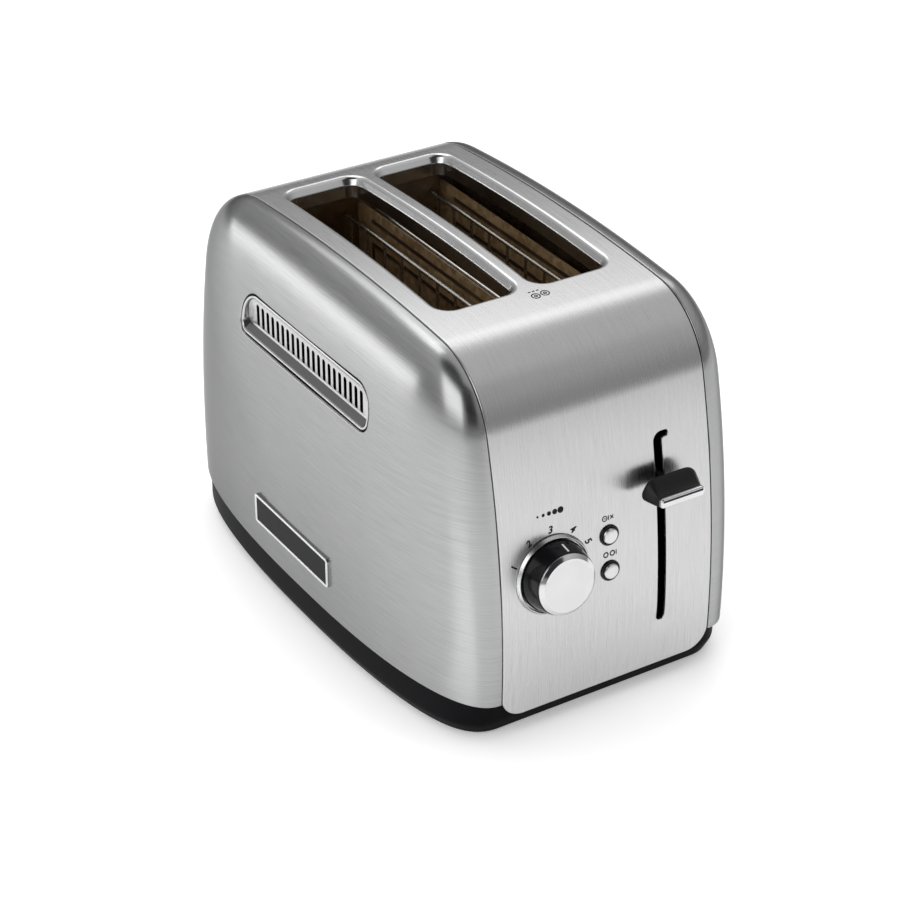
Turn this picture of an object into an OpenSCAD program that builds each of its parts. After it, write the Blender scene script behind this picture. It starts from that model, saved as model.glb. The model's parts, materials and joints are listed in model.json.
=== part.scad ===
// Two-slice pop-up toaster: one stainless sheet wraps the front, top and rear,
// two bowed side shells close it, and a black moulded base carries everything.
// Lengths are millimetres, +Z is up, the control panel faces -Y.

/* [Body] */
// Height of the top sheet's crown above the table
body_h = 192; // [186:1:200]
// Length of the body from the front sheet to the rear sheet
body_l = 278; // [270:2:290]
// Width of the sheet that wraps over the body
wrap_w = 117; // [113:1:119]
// How far each side shell bows out beyond the wrap
shell_bow = 31; // [28:1:34]
// Thickness of the stainless sheets
sheet_t = 1; // [0.8:0.1:1.2]
// Bottom edge of the wrap above the table
wrap_bottom = 12; // [10:1:14]
// Bottom edge of the side shells above the table
shell_bottom = 21.5; // [20:0.5:24]

/* [Bread slots] */
// Width of each slot at the sheet
slot_w = 43.3; // [42:0.1:44]
// Length of each slot
slot_l = 152; // [146:1:154]
// Width of the strip between the two slots
slot_strip = 7.4; // [6.5:0.1:8]
// Slot centre behind the body centre
slot_y = 9; // [8:0.5:10]
// Corner radius of each slot
slot_r = 9; // [7:0.5:10]

/* [Controls] */
// Dial centre, sideways from the middle
dial_x = -31; // [-33:0.5:-29]
// Dial centre above the table
dial_z = 83; // [80:0.5:86]
// Radius of the dial's chrome ring
dial_ring_r = 20; // [19:0.5:21]
// Sideways place of the two push buttons
button_x = 0.4; // [0:0.2:2]
// Heights of the two push buttons
button_z = [92.9, 74.6]; // [72:0.1:95]
// Sideways place of the lever slot
lever_x = 30; // [29:0.5:32]
// Height of the lever at rest
lever_z = 112; // [110:1:113]
// Ends of the lever slot above the table
lever_slot_z = [37, 135]; // [36:1:136]

/* [Side vents] */
// Number of louvre slots in each side vent
vent_count = 21; // [15:2:21]
// Spacing of the louvre slots
vent_pitch = 5.15; // [4.8:0.05:5.2]

/* [Hidden] */
$fn = 48;
eps = 0.01;

steel = "silver";
chrome = "gainsboro";
black = "dimgray";

// The controls reach further forward than the sheet, so the body sits back.
front_reach = 12.6;
badge_proud = 1.2;
body_y = front_reach / 2;
body_x = badge_proud / 2;
half_l = body_l / 2;
half_w = wrap_w / 2;
seam_gap = 0.5;
shell_x = half_w + seam_gap;

// Side view of the wrap: shallow front and rear arcs, a shallow top arc, and
// shoulder arcs tangent to both.
widest_z = 38.5;
face_r = 489;
top_r = 1082;
shoulder_r = 42;
face_c = [half_l - face_r, widest_z];
top_c = [0, body_h - top_r];
shoulder_c = circles_meet(face_c, face_r - shoulder_r, top_c, top_r - shoulder_r);
face_end = atan2(shoulder_c[1] - face_c[1], shoulder_c[0] - face_c[0]);
top_end = atan2(shoulder_c[1] - top_c[1], shoulder_c[0] - top_c[0]);

// The upper one of the two points where two circles cross
function circles_meet(a, ra, b, rb) =
    let (d = norm(b - a), u = (b - a) / d, k = (ra * ra - rb * rb + d * d) / (2 * d))
    let (h = sqrt(ra * ra - k * k))
    a + k * u + h * [-u[1], u[0]];

function on_circle(c, r, a) = c + r * [cos(a), sin(a)];

// Rear half of the side outline from height z_low up to the crown, inset by d
function half_profile(z_low, d = 0, fine = 1) =
    let (a_low = asin((z_low - widest_z) / (face_r - d)), nf = round(12 * fine))
    let (ns = round(14 * fine), nt = round(6 * fine))
    concat(
        [for (i = [0 : nf]) on_circle(face_c, face_r - d, a_low + (face_end - a_low) * i / nf)],
        [for (i = [1 : ns]) on_circle(shoulder_c, shoulder_r - d,
            face_end + (top_end - face_end) * i / ns)],
        [for (i = [1 : nt]) on_circle(top_c, top_r - d, top_end + (90 - top_end) * i / nt)]
    );

function mirrored(pts) = [for (i = [len(pts) - 2 : -1 : 0]) [-pts[i][0], pts[i][1]]];

// Whole side outline, rear bottom over the top to front bottom
function full_profile(z_low, d = 0, fine = 1) =
    let (h = half_profile(z_low, d, fine)) concat(h, mirrored(h));

// Front sheet's surface: distance in front of the body centre, and its lean
function face_y(z) = -(face_c[0] + sqrt(face_r * face_r - pow(z - widest_z, 2)));
function face_tilt(z) = asin((z - widest_z) / face_r);

// Side shell: bow of the shell for a contour scaled by g about the widest line,
// where rise is 0 at the widest line and 1 straight above it.
side_power = 2.5;
top_power = 3.2;
bow_power = 2.3;
function bow(g, rise) =
    shell_bow * pow(1 - pow(g, side_power + (top_power - side_power) * rise), 1 / bow_power);
function rise_of(p) =
    p[1] <= widest_z ? 0 : pow(sin(atan2(p[1] - widest_z, abs(p[0]))), 2);
function contour(p, g) = [p[0] * g, p[1] <= widest_z ? p[1] : widest_z + (p[1] - widest_z) * g];
function shell_point(p, g, t) =
    let (q = contour(p, g), s = 1 - t / half_l)
    [shell_x + (shell_bow - t) / shell_bow * bow(g, rise_of(p)), q[0] * s,
        p[1] <= widest_z ? q[1] : widest_z + (q[1] - widest_z) * s];

// Plan outline of the base: it follows the shells at their widest, inset by d,
// and turns in to round corners at its ends.
base_end = 132;
plan_steps = 44;
corner_power = 8;
function plan_g(y, y_end) =
    min(1, abs(y) / (half_l - (half_l - y_end) * pow(abs(y) / y_end, corner_power)));
function plan_x(y, d, y_end) = shell_x - d + bow(plan_g(y, y_end), 0);
function plan_ys(y_end) = [for (i = [0 : plan_steps]) y_end * sin(90 * (2 * i / plan_steps - 1))];
function plan_outline(d, y_end) = concat(
    [for (y = plan_ys(y_end)) [plan_x(y, d, y_end), y]],
    [for (y = plan_ys(y_end)) [-plan_x(y, d, y_end), -y]]
);

// Places the whole toaster so that its box is centred on the origin
module placed() {
    translate([body_x, body_y, 0]) children();
}

// Child +Z points out of the front sheet at (x, z), child +Y points up it. All
// controls lean back with the sheet at the dial.
control_lean = face_tilt(dial_z);
module on_face(x, z) {
    translate([x, face_y(z), z]) rotate([90 - control_lean, 0, 0]) children();
}

// Extrudes a side outline, given as [y, z], along X about the middle
module along_x(w) {
    rotate([90, 0, 90]) translate([0, 0, -w / 2]) linear_extrude(height = w) children();
}

module round_rect(size, r) {
    square([size[0] - 2 * r, size[1]], center = true);
    square([size[0], size[1] - 2 * r], center = true);
    for (sx = [-1, 1]) {
        for (sy = [-1, 1]) {
            translate([sx * (size[0] / 2 - r), sy * (size[1] / 2 - r)]) circle(r);
        }
    }
}

module block(low, high) {
    translate(low) cube(high - low);
}

module rod(a, b, r) {
    d = b - a;
    translate(a) rotate([0, acos(d[2] / norm(d)), atan2(d[1], d[0])]) cylinder(h = norm(d), r = r);
}

// ---- Outer casing ----------------------------------------------------------

slot_x = (slot_strip + slot_w) / 2;
flange_bottom = body_h - 14;
hem_w = 4;
panel_corner_r = 12;
lever_slot_w = 5;
hook_w = 3;
hook_l = 4.5;
shaft_r = 3;
shaft_hole_r = 4.5;
button_hole_r = 4.6;

module slot_cut(side, grow, z0, z1) {
    translate([side * slot_x, slot_y, z0]) linear_extrude(height = z1 - z0)
        round_rect([slot_w + 2 * grow, slot_l + 2 * grow], slot_r + grow);
}

module panel_corner(side) {
    r = panel_corner_r;
    mirror([side < 0 ? 1 : 0, 0, 0]) translate([half_w - r, body_l, wrap_bottom + r])
        rotate([90, 0, 0]) difference() {
            translate([0, -r - 1, 0]) cube([r + 1, r + 1, 2 * body_l]);
            translate([0, 0, -1]) cylinder(h = 2 * body_l + 2, r = r);
        }
}

// Lever slot, with the small sideways hook at its top
module lever_opening() {
    r = lever_slot_w / 2;
    z0 = lever_slot_z[0] + r;
    z1 = lever_slot_z[1] - r;
    translate([lever_x, -half_l + 20, 0]) rotate([90, 0, 0]) linear_extrude(height = 40) {
        translate([0, z0]) circle(r);
        translate([-r, z0]) square([2 * r, z1 - z0]);
        translate([0, z1]) circle(r);
        translate([0, z1 + r - hook_w]) square([hook_l, hook_w]);
        translate([hook_l, z1 + r - hook_w / 2]) circle(hook_w / 2);
    }
}

module slot_flange(side) {
    intersection() {
        difference() {
            slot_cut(side, 0, flange_bottom, body_h + 5);
            slot_cut(side, -sheet_t, flange_bottom - 1, body_h + 6);
        }
        along_x(wrap_w) polygon(full_profile(wrap_bottom));
    }
}

module wrap_panel() {
    outer = full_profile(wrap_bottom);
    inner = full_profile(wrap_bottom, sheet_t);
    ring = concat(outer, [for (i = [len(inner) - 1 : -1 : 0]) inner[i]]);
    color(steel) placed() difference() {
        union() {
            along_x(wrap_w) polygon(ring);
            slot_flange(-1);
            slot_flange(1);
            for (end = [-1, 1]) {
                translate([panel_corner_r - half_w, end * (half_l - 2.6) - hem_w / 2, wrap_bottom])
                    cube([wrap_w - 2 * panel_corner_r, hem_w, sheet_t]);
            }
        }
        for (side = [-1, 1]) {
            slot_cut(side, -sheet_t, flange_bottom - 1, body_h + 6);
            panel_corner(side);
        }
        on_face(dial_x, dial_z) translate([0, 0, -10]) cylinder(h = 20, r = shaft_hole_r);
        for (z = button_z) {
            on_face(button_x, z) translate([0, 0, -10]) cylinder(h = 20, r = button_hole_r);
        }
        lever_opening();
    }
}

// The side shell's sheet of contours runs from the seam (g = 1) to a small one
// near the middle, which a cap closes.
shell_t = 1.2;
contour_steps = 13;
g_last = 0.16;
shell_profile = full_profile(shell_bottom, 0, 0.75);
shell_n = len(shell_profile);
function contour_g(j) = 1 - (1 - g_last) * pow(sin(90 * j / contour_steps), 2);
function sheet_points(t) = [for (j = [0 : contour_steps]) for (p = shell_profile)
    shell_point(p, contour_g(j), t)];
sheet_faces = [for (j = [0 : contour_steps - 1]) for (i = [0 : shell_n - 2])
    let (a = j * shell_n + i) [a, a + 1, a + 1 + shell_n, a + shell_n]];
sheet_cap = [for (i = [0 : shell_n - 1]) contour_steps * shell_n + i];
rear_edge = [for (j = [0 : contour_steps]) j * shell_n];
front_edge = [for (j = [0 : contour_steps]) j * shell_n + shell_n - 1];
function backwards(v) = [for (k = [len(v) - 1 : -1 : 0]) v[k]];

module sided_polyhedron(side, points, faces) {
    mirror([side < 0 ? 1 : 0, 0, 0])
        polyhedron(points = points, faces = [for (f = faces) backwards(f)]);
}

// Thin bowed skin
module shell_skin(side) {
    m = shell_n * (contour_steps + 1);
    inner = [for (f = concat(sheet_faces, [sheet_cap])) [for (k = backwards(f)) k + m]];
    seam = [for (i = [0 : shell_n - 2]) [i + 1, i, i + m, i + 1 + m]];
    rear_rim = [for (j = [0 : contour_steps - 1])
        [rear_edge[j], rear_edge[j + 1], rear_edge[j + 1] + m, rear_edge[j] + m]];
    front_rim = [for (j = [0 : contour_steps - 1])
        [front_edge[j + 1], front_edge[j], front_edge[j] + m, front_edge[j + 1] + m]];
    a = rear_edge[contour_steps];
    b = front_edge[contour_steps];
    faces = concat(sheet_faces, [sheet_cap], inner, seam, rear_rim, front_rim, [[a, b, b + m, a + m]]);
    sided_polyhedron(side, concat(sheet_points(0), sheet_points(shell_t)), faces);
}

// Everything inside the skin's outer surface less depth d
module shell_core(side, d) {
    back = [for (i = [shell_n - 1 : -1 : 0]) i];
    bottom = concat(rear_edge, backwards(front_edge));
    sided_polyhedron(side, sheet_points(d), concat(sheet_faces, [sheet_cap, back, bottom]));
}

vent_y = -3;
vent_z = 147.5;
vent_l = 123;
vent_h = 22.5;
vent_top_r = 13;
vent_low_r = 6.5;
vent_floor_x = 79.5;
vent_wall = 1.2;
vent_slot_w = 2.3;
vent_slot_h = 10;
vent_slot_z = 145;

// Outline of a vent, with its upper corners rounder than its lower ones
module vent_outline(grow) {
    l = vent_l / 2 + grow;
    h = vent_h / 2 + grow;
    rt = vent_top_r + grow;
    rl = vent_low_r + grow;
    translate([-l, rl - h]) square([2 * l, 2 * h - rt - rl]);
    translate([rt - l, 0]) square([2 * (l - rt), h]);
    translate([rl - l, -h]) square([2 * (l - rl), h]);
    for (side = [-1, 1]) {
        translate([side * (l - rt), h - rt]) circle(rt);
        translate([side * (l - rl), rl - h]) circle(rl);
    }
}

// Outline of a vent, grown by some amount, as a bar along X from x0 to x1
module vent_bar(side, grow, x0, x1) {
    mirror([side < 0 ? 1 : 0, 0, 0]) translate([x0, vent_y, vent_z]) rotate([90, 0, 90])
        linear_extrude(height = x1 - x0) vent_outline(grow);
}

badge_y = 3.5;
badge_z = 45.3;
badge_size = [73.3, 16.5];
badge_border = 1.6;
badge_back = shell_x + shell_bow - 0.7;
badge_front = shell_x + shell_bow + badge_proud;

module badge_bar(grow, x0, x1) {
    translate([-x1, badge_y, badge_z]) rotate([90, 0, 90]) linear_extrude(height = x1 - x0)
        round_rect([badge_size[0] + 2 * grow, badge_size[1] + 2 * grow], 1.8 + grow);
}

module side_shell_left() {
    color(steel) placed() difference() {
        shell_skin(-1);
        vent_bar(-1, 0, vent_floor_x - 6, vent_floor_x + 20);
        badge_bar(0.05, badge_back, badge_front + 5);
    }
}

module side_shell_right() {
    color(steel) placed() difference() {
        shell_skin(1);
        vent_bar(1, 0, vent_floor_x - 6, vent_floor_x + 20);
    }
}

// Pressed tray behind a side shell's opening: louvred floor and side walls
module vent_grille(side) {
    color(chrome) placed() intersection() {
        difference() {
            vent_bar(side, -0.05, vent_floor_x - vent_wall, vent_floor_x + 12);
            vent_bar(side, -vent_wall, vent_floor_x, vent_floor_x + 13);
            for (i = [0 : vent_count - 1]) {
                y = vent_y + (i - (vent_count - 1) / 2) * vent_pitch;
                translate([side * vent_floor_x, y, vent_slot_z])
                    cube([8, vent_slot_w, vent_slot_h], center = true);
            }
        }
        shell_core(side, 0.4);
    }
}

module vent_grille_left() {
    vent_grille(-1);
}

module vent_grille_right() {
    vent_grille(1);
}

module badge_frame() {
    color(chrome) placed() difference() {
        badge_bar(0, badge_back, badge_front);
        badge_bar(-badge_border, badge_back + 0.8, badge_front + 1);
    }
}

module badge_plate() {
    color("black") placed() badge_bar(-badge_border - 0.05, badge_back + 0.8, badge_front - 0.4);
}

// ---- Base ------------------------------------------------------------------

foot_h = 2;
floor_z = 4.2;
tuck_z = 8;
tuck = 4.5;
base_wall = 2.4;
base_gap = 0.6;
tray_half_w = 44;
tray_y = [-66, 131];
tray_z = [4.5, 11.4];
tray_gap = 0.5;
tray_t = 0.8;
rail_t = 2;
foot_at = [62, 104];
foot_r = 7;
foot_stem_r = 3;
gland_x = -57;
gland_z = 12.5;
gland_r = 6;
cord_r = 3.5;
frame_y = [-73, 90];
frame_t = 1.2;
tab_l = 12;
tab_x = 52;
screw_r = 1.6;
screw_head_r = 3.2;

module mirror_copies(x, y) {
    for (sx = [-1, 1]) {
        for (sy = [-1, 1]) {
            translate([sx * x, sy * y, 0]) children();
        }
    }
}

// Places children at the four screws that hold the frames' tabs to the base
module at_tab_screws() {
    for (sx = [-1, 1]) {
        translate([sx * tab_x, frame_y[0] - tab_l / 2, 0]) children();
        translate([sx * tab_x, frame_y[1] + tab_l / 2, 0]) children();
    }
}

module plan_slab(d, y_end, z0, z1) {
    translate([0, 0, z0]) linear_extrude(height = z1 - z0) polygon(plan_outline(d, y_end));
}

module base_shape() {
    plan_slab(base_gap, base_end, tuck_z - eps, shell_bottom - 0.3);
    hull() {
        plan_slab(base_gap, base_end, tuck_z - eps, tuck_z);
        plan_slab(base_gap + tuck, base_end - tuck + 2, foot_h, foot_h + eps);
    }
}

board_post_h = 26;

module base_tray() {
    channel = tray_half_w + tray_gap;
    color(black) placed() difference() {
        union() {
            difference() {
                base_shape();
                plan_slab(base_gap + tuck + base_wall, base_end - tuck - base_wall, floor_z, tuck_z + 1);
                plan_slab(base_gap + base_wall, base_end - base_wall, tuck_z, shell_bottom + 5);
            }
            for (side = [-1, 1]) {
                block([side > 0 ? channel : -channel - rail_t, tray_y[0] - 3, floor_z - eps],
                    [side > 0 ? channel + rail_t : -channel, base_end - 1, tray_z[1] + 1]);
            }
            for (x = [-47, 2]) {
                block([x, -127, floor_z - eps], [x + 6, -117, board_post_h]);
            }
        }
        board_slab(0.1);
        block([-channel, base_end - 12, tray_z[0] - 0.3], [channel, base_end + 5, tray_z[1] + 0.3]);
        mirror_copies(foot_at[0], foot_at[1]) cylinder(h = 8, r = foot_stem_r);
        at_tab_screws() {
            cylinder(h = 8, r = screw_r);
            cylinder(h = foot_h + 1.2, r = screw_head_r + 0.2);
        }
        translate([gland_x, base_end + 10, gland_z]) rotate([90, 0, 0])
            cylinder(h = 40, r = gland_r);
    }
}

module feet() {
    color("black") placed() mirror_copies(foot_at[0], foot_at[1]) {
        cylinder(h = foot_h, r = foot_r);
        cylinder(h = floor_z + 1, r = foot_stem_r);
    }
}

module crumb_tray() {
    color(chrome) placed() difference() {
        block([-tray_half_w, tray_y[0], tray_z[0]], [tray_half_w, tray_y[1], tray_z[1]]);
        block([tray_t - tray_half_w, tray_y[0] + tray_t, tray_z[0] + tray_t],
            [tray_half_w - tray_t, tray_y[1] - tray_t, tray_z[1] + 1]);
    }
}

module crumb_tray_handle() {
    color(black) placed() difference() {
        block([-tray_half_w, tray_y[1], tray_z[0]], [tray_half_w, half_l - 2, tray_z[1]]);
        translate([0, half_l - 2, tray_z[0] - 18]) rotate([0, 90, 0]) cylinder(h = 50, r = 20, center = true);
    }
}

module cord_gland() {
    color("black") placed() translate([gland_x, base_end + 3, gland_z]) rotate([90, 0, 0])
        difference() {
            union() {
                cylinder(h = 3, r = gland_r + 1.6);
                cylinder(h = 10, r = gland_r);
            }
            translate([0, 0, -1]) cylinder(h = 12, r = cord_r);
        }
}

// ---- Chassis and heaters ---------------------------------------------------

frame_half_w = 56;
frame_top = 182;
guard_out = 17.5;
pivot_z = 36;
pivot_r = 1.5;
pivot_fit = 0.06;
rack_z = 104;
rack_t = 1.2;
arm_w = 4;
travel = [-66, 16];
guard_xs = [for (s = [-1, 1]) for (g = [-1, 1]) s * slot_x + g * guard_out];
reflector_screw_z = [62, 150];
reflector_screw_x = frame_half_w - 3.5;
guide_at = [21, -95];
guide_r = 3;
guide_top = 168;
spring_at = [39, -95];

module pivot_holes(y) {
    for (x = guard_xs) {
        translate([x, y - 5, pivot_z]) rotate([-90, 0, 0]) cylinder(h = 10, r = pivot_r + pivot_fit);
    }
}

module reflector_holes(y) {
    for (sx = [-1, 1]) {
        for (z = reflector_screw_z) {
            translate([sx * reflector_screw_x, y - 5, z]) rotate([-90, 0, 0])
                cylinder(h = 10, r = screw_r);
        }
    }
}

module front_frame() {
    y0 = frame_y[0];
    color(chrome) placed() difference() {
        union() {
            block([-frame_half_w, y0, floor_z], [frame_half_w, y0 + frame_t, frame_top]);
            for (sx = [-1, 1]) {
                block([sx * tab_x - 4, y0 - tab_l, floor_z], [sx * tab_x + 4, y0 + eps, floor_z + frame_t]);
            }
            block([guide_at[0] - 8, guide_at[1] - 7, guide_top - 2 * frame_t],
                [spring_at[0] + 8, y0 + eps, guide_top - frame_t]);
        }
        for (sx = [-1, 1]) {
            block([sx * slot_x - arm_w, y0 - 1, rack_z + travel[0] - 8],
                [sx * slot_x + arm_w, y0 + 3, rack_z + travel[1] + 4]);
        }
        pivot_holes(y0);
        reflector_holes(y0);
        at_tab_screws() cylinder(h = 8, r = screw_r);
        translate([guide_at[0], guide_at[1], 0]) cylinder(h = body_h, r = guide_r);
        translate([spring_at[0], spring_at[1], guide_top - 5]) cylinder(h = 10, r = 1);
    }
}

module rear_frame() {
    y1 = frame_y[1];
    arch = tray_half_w + tray_gap + rail_t + 0.5;
    color(chrome) placed() difference() {
        union() {
            block([-frame_half_w, y1 - frame_t, floor_z], [frame_half_w, y1, frame_top]);
            for (sx = [-1, 1]) {
                block([sx * tab_x - 4, y1 - eps, floor_z], [sx * tab_x + 4, y1 + tab_l, floor_z + frame_t]);
            }
        }
        block([-arch, y1 - 5, 0], [arch, y1 + 5, tray_z[1] + 2]);
        pivot_holes(y1);
        reflector_holes(y1);
        at_tab_screws() cylinder(h = 8, r = screw_r);
    }
}

reflector_t = 0.6;
reflector_z = [22, 178];

module reflector(side) {
    y0 = frame_y[0] + frame_t;
    y1 = frame_y[1] - frame_t;
    color("tan") placed() mirror([side < 0 ? 1 : 0, 0, 0]) difference() {
        union() {
            block([frame_half_w - reflector_t, y0, reflector_z[0]], [frame_half_w, y1, reflector_z[1]]);
            for (y = [y0, y1 - reflector_t]) {
                for (z = reflector_screw_z) {
                    block([frame_half_w - 6.6, y, z - 6], [frame_half_w - eps, y + reflector_t, z + 6]);
                }
            }
        }
        reflector_holes(y0);
        reflector_holes(y1);
    }
}

module reflector_left() {
    reflector(-1);
}

module reflector_right() {
    reflector(1);
}

card_t = 0.8;
card_x = 48.6;
card_y = [frame_y[0] + frame_t, frame_y[1] - frame_t];
card_z = [30, 172];
ribbon_t = 0.4;
ribbon_w = 2;
ribbon_rows = 11;
ribbon_margin = 14;

module heater_card(x) {
    color("khaki") placed()
        block([x - card_t / 2, card_y[0], card_z[0]], [x + card_t / 2, card_y[1], card_z[1]]);
}

module heater_card_left() {
    heater_card(-card_x);
}

module heater_card_centre() {
    heater_card(0);
}

module heater_card_right() {
    heater_card(card_x);
}

// Flat resistance ribbon that runs to and fro up the face of a card
module heater_ribbon(x, face) {
    y0 = card_y[0] + ribbon_margin;
    y1 = card_y[1] - ribbon_margin;
    z0 = card_z[0] + ribbon_margin / 2;
    step = (card_z[1] - card_z[0] - ribbon_margin) / (ribbon_rows - 1);
    x0 = face > 0 ? x + card_t / 2 : x - card_t / 2 - ribbon_t;
    for (i = [0 : ribbon_rows - 1]) {
        z = z0 + i * step;
        block([x0, y0, z], [x0 + ribbon_t, y1, z + ribbon_w]);
        if (i < ribbon_rows - 1) {
            y = i % 2 == 0 ? y1 - ribbon_w : y0;
            block([x0, y, z], [x0 + ribbon_t, y + ribbon_w, z + step + ribbon_w]);
        }
    }
}

module heater_ribbon_left() {
    color("orangered") placed() heater_ribbon(-card_x, 1);
}

module heater_ribbon_centre() {
    color("orangered") placed() {
        heater_ribbon(0, 1);
        heater_ribbon(0, -1);
    }
}

module heater_ribbon_right() {
    color("orangered") placed() heater_ribbon(card_x, -1);
}

// ---- Bread guards and racks -------------------------------------------------

guard_wire_r = 0.8;
guard_top_z = 166;
guard_rail_r = 1.1;
guard_wires = 10;

module guard(x) {
    y0 = frame_y[0] + frame_t + 1.5;
    y1 = frame_y[1] - frame_t - 1.5;
    color(chrome) placed() {
        rod([x, frame_y[0] - 1, pivot_z], [x, frame_y[1] + 1, pivot_z], pivot_r);
        rod([x, y0, guard_top_z], [x, y1, guard_top_z], guard_rail_r);
        for (i = [0 : guard_wires - 1]) {
            y = y0 + 4 + (y1 - y0 - 8) * i / (guard_wires - 1);
            rod([x, y, pivot_z], [x, y, guard_top_z], guard_wire_r);
        }
    }
}

module guard_left_outer() {
    guard(guard_xs[0]);
}

module guard_left_inner() {
    guard(guard_xs[1]);
}

module guard_right_inner() {
    guard(guard_xs[2]);
}

module guard_right_outer() {
    guard(guard_xs[3]);
}

rack_half_w = 9;
rack_y = [-62, 80];
rack_lip = 4;
rack_teeth = 7;
bar_y = [-86, -84];
bar_z = [rack_z - 8, rack_z + rack_t];

// Bread rest: a channel with cross teeth, and an arm through the front frame
module rack(side) {
    x = side * slot_x;
    color(chrome) placed() difference() {
        union() {
            block([x - rack_half_w, rack_y[0], rack_z], [x + rack_half_w, rack_y[1], rack_z + rack_t]);
            for (sx = [-1, 1]) {
                block([x + sx * (rack_half_w - rack_t / 2) - rack_t / 2, rack_y[0], rack_z - rack_lip],
                    [x + sx * (rack_half_w - rack_t / 2) + rack_t / 2, rack_y[1], rack_z + eps]);
            }
            for (i = [0 : rack_teeth - 1]) {
                y = rack_y[0] + 12 + (rack_y[1] - rack_y[0] - 24) * i / (rack_teeth - 1);
                block([x - rack_half_w, y - 0.6, rack_z], [x + rack_half_w, y + 0.6, rack_z + 3.5]);
            }
            block([x - arm_w / 2, bar_y[1], rack_z - 6], [x + arm_w / 2, rack_y[0] + 10, rack_z + rack_t]);
        }
        for (i = [0 : rack_teeth - 2]) {
            y = rack_y[0] + 12 + (rack_y[1] - rack_y[0] - 24) * (i + 0.5) / (rack_teeth - 1);
            translate([x, y, rack_z - 1]) linear_extrude(height = 4) round_rect([9, 12], 4);
        }
    }
}

module rack_left() {
    rack(-1);
}

module rack_right() {
    rack(1);
}

// ---- Carriage, lever and latch ----------------------------------------------

shelf_x = [16, 45];
shelf_y = [-106, bar_y[0]];
shelf_z = rack_z - 8;
shelf_t = 2;
face_plate_top = 124;
bush_r = 5.5;
bush_h = 22;
bush_fit = 0.08;
arm_half_h = 3;
arm_half_w = 1.5;
handle_rear_y = -half_l - 0.8;
handle_front_y = -half_l - front_reach;
trim_t = 2.2;

module carriage() {
    color(chrome) placed() difference() {
        union() {
            block([-slot_x - 6, bar_y[0], bar_z[0]], [shelf_x[1], bar_y[1], bar_z[1]]);
            block([shelf_x[0], shelf_y[0], shelf_z], [shelf_x[1], shelf_y[1] + eps, shelf_z + shelf_t]);
            block([shelf_x[0], shelf_y[0], shelf_z], [shelf_x[1], shelf_y[0] + shelf_t, face_plate_top]);
        }
        translate([guide_at[0], guide_at[1], 0]) cylinder(h = body_h, r = guide_r + 1);
        translate([spring_at[0], spring_at[1], 0]) cylinder(h = body_h, r = 1);
    }
}

module carriage_bush() {
    color("white") placed() translate([guide_at[0], guide_at[1], shelf_z + shelf_t]) difference() {
        cylinder(h = bush_h, r = bush_r);
        translate([0, 0, -1]) cylinder(h = bush_h + 2, r = guide_r + bush_fit);
    }
}

module guide_rod() {
    color(chrome) placed() translate([guide_at[0], guide_at[1], floor_z])
        cylinder(h = guide_top - floor_z, r = guide_r);
}

coil_r = 4;
coil_wire_r = 0.7;
spring_z0 = shelf_z + shelf_t;
spring_l = guide_top - 2 * frame_t - spring_z0;
spring_hook_l = 3;

// Lift spring as the sleeve that its turns fill
module lift_spring() {
    color("gray") placed() translate([spring_at[0], spring_at[1], spring_z0]) difference() {
        cylinder(h = spring_l, r = coil_r);
        translate([0, 0, spring_hook_l])
            cylinder(h = spring_l - 2 * spring_hook_l, r = coil_r - 2 * coil_wire_r);
    }
}

module lever_arm() {
    color(chrome) placed() block([lever_x - arm_half_w, handle_front_y + trim_t + 4, lever_z - arm_half_h],
        [lever_x + arm_half_w, shelf_y[0], lever_z + arm_half_h]);
}

handle_low = lever_z - 3;
handle_rear_w = 27.5;
handle_rear_top_w = 15;
handle_rear_h = 8.6;
handle_front_w = 24;
handle_front_h = 4.6;

// A rounded bar along Y, for the hulls of the handle
module soft_bar(x, z, r, y0, y1) {
    translate([x, y1, z]) rotate([90, 0, 0]) cylinder(h = y1 - y0, r = r, $fn = 32);
}

module handle_end(low_w, top_w, h, y0, y1) {
    r = 1.6;
    for (sx = [-1, 1]) {
        soft_bar(lever_x + sx * (low_w / 2 - r), handle_low + r, r, y0, y1);
        soft_bar(lever_x + sx * (top_w / 2 - r), handle_low + h - r, r, y0, y1);
    }
}

module handle_body() {
    hull() {
        handle_end(handle_rear_w, handle_rear_top_w, handle_rear_h, handle_rear_y - 1, handle_rear_y);
        handle_end(handle_front_w, handle_front_w, handle_front_h,
            handle_front_y + trim_t, handle_front_y + trim_t + 1);
    }
}

module lever_handle() {
    color(black) placed() difference() {
        handle_body();
        block([lever_x - arm_half_w, handle_front_y + trim_t + 4, lever_z - arm_half_h],
            [lever_x + arm_half_w, handle_rear_y + 5, lever_z + arm_half_h]);
    }
}

module lever_trim() {
    color(chrome) placed() hull() {
        handle_end(handle_front_w, handle_front_w, handle_front_h,
            handle_front_y + 1, handle_front_y + trim_t);
        handle_end(handle_front_w - 2, handle_front_w - 2, handle_front_h,
            handle_front_y, handle_front_y + 1);
    }
}

magnet_at = [32, -96];
armature_t = 3;
armature_z = shelf_z - armature_t - 0.5;
magnet_top = armature_z + travel[0] - 0.3;
core_leg = 5;

core_l = 16;
core_half_d = 5;

module armature() {
    color("gray") placed() translate([magnet_at[0], magnet_at[1], armature_z]) {
        block([-4, -7, 0], [core_l - 4, 7, armature_t]);
        block([2, -2, 0], [6, 2, shelf_z - armature_z]);
    }
}

// U-shaped core that stands on the base, with its coil round one leg
module magnet_core() {
    d = core_half_d;
    color("gray") placed() translate([magnet_at[0] - 4, magnet_at[1], 0]) {
        block([0, -d, floor_z], [core_leg, d, magnet_top]);
        block([0, -d, floor_z], [core_l, d, floor_z + 4]);
        block([core_l - core_leg, -d, floor_z], [core_l, d, magnet_top]);
    }
}

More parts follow.
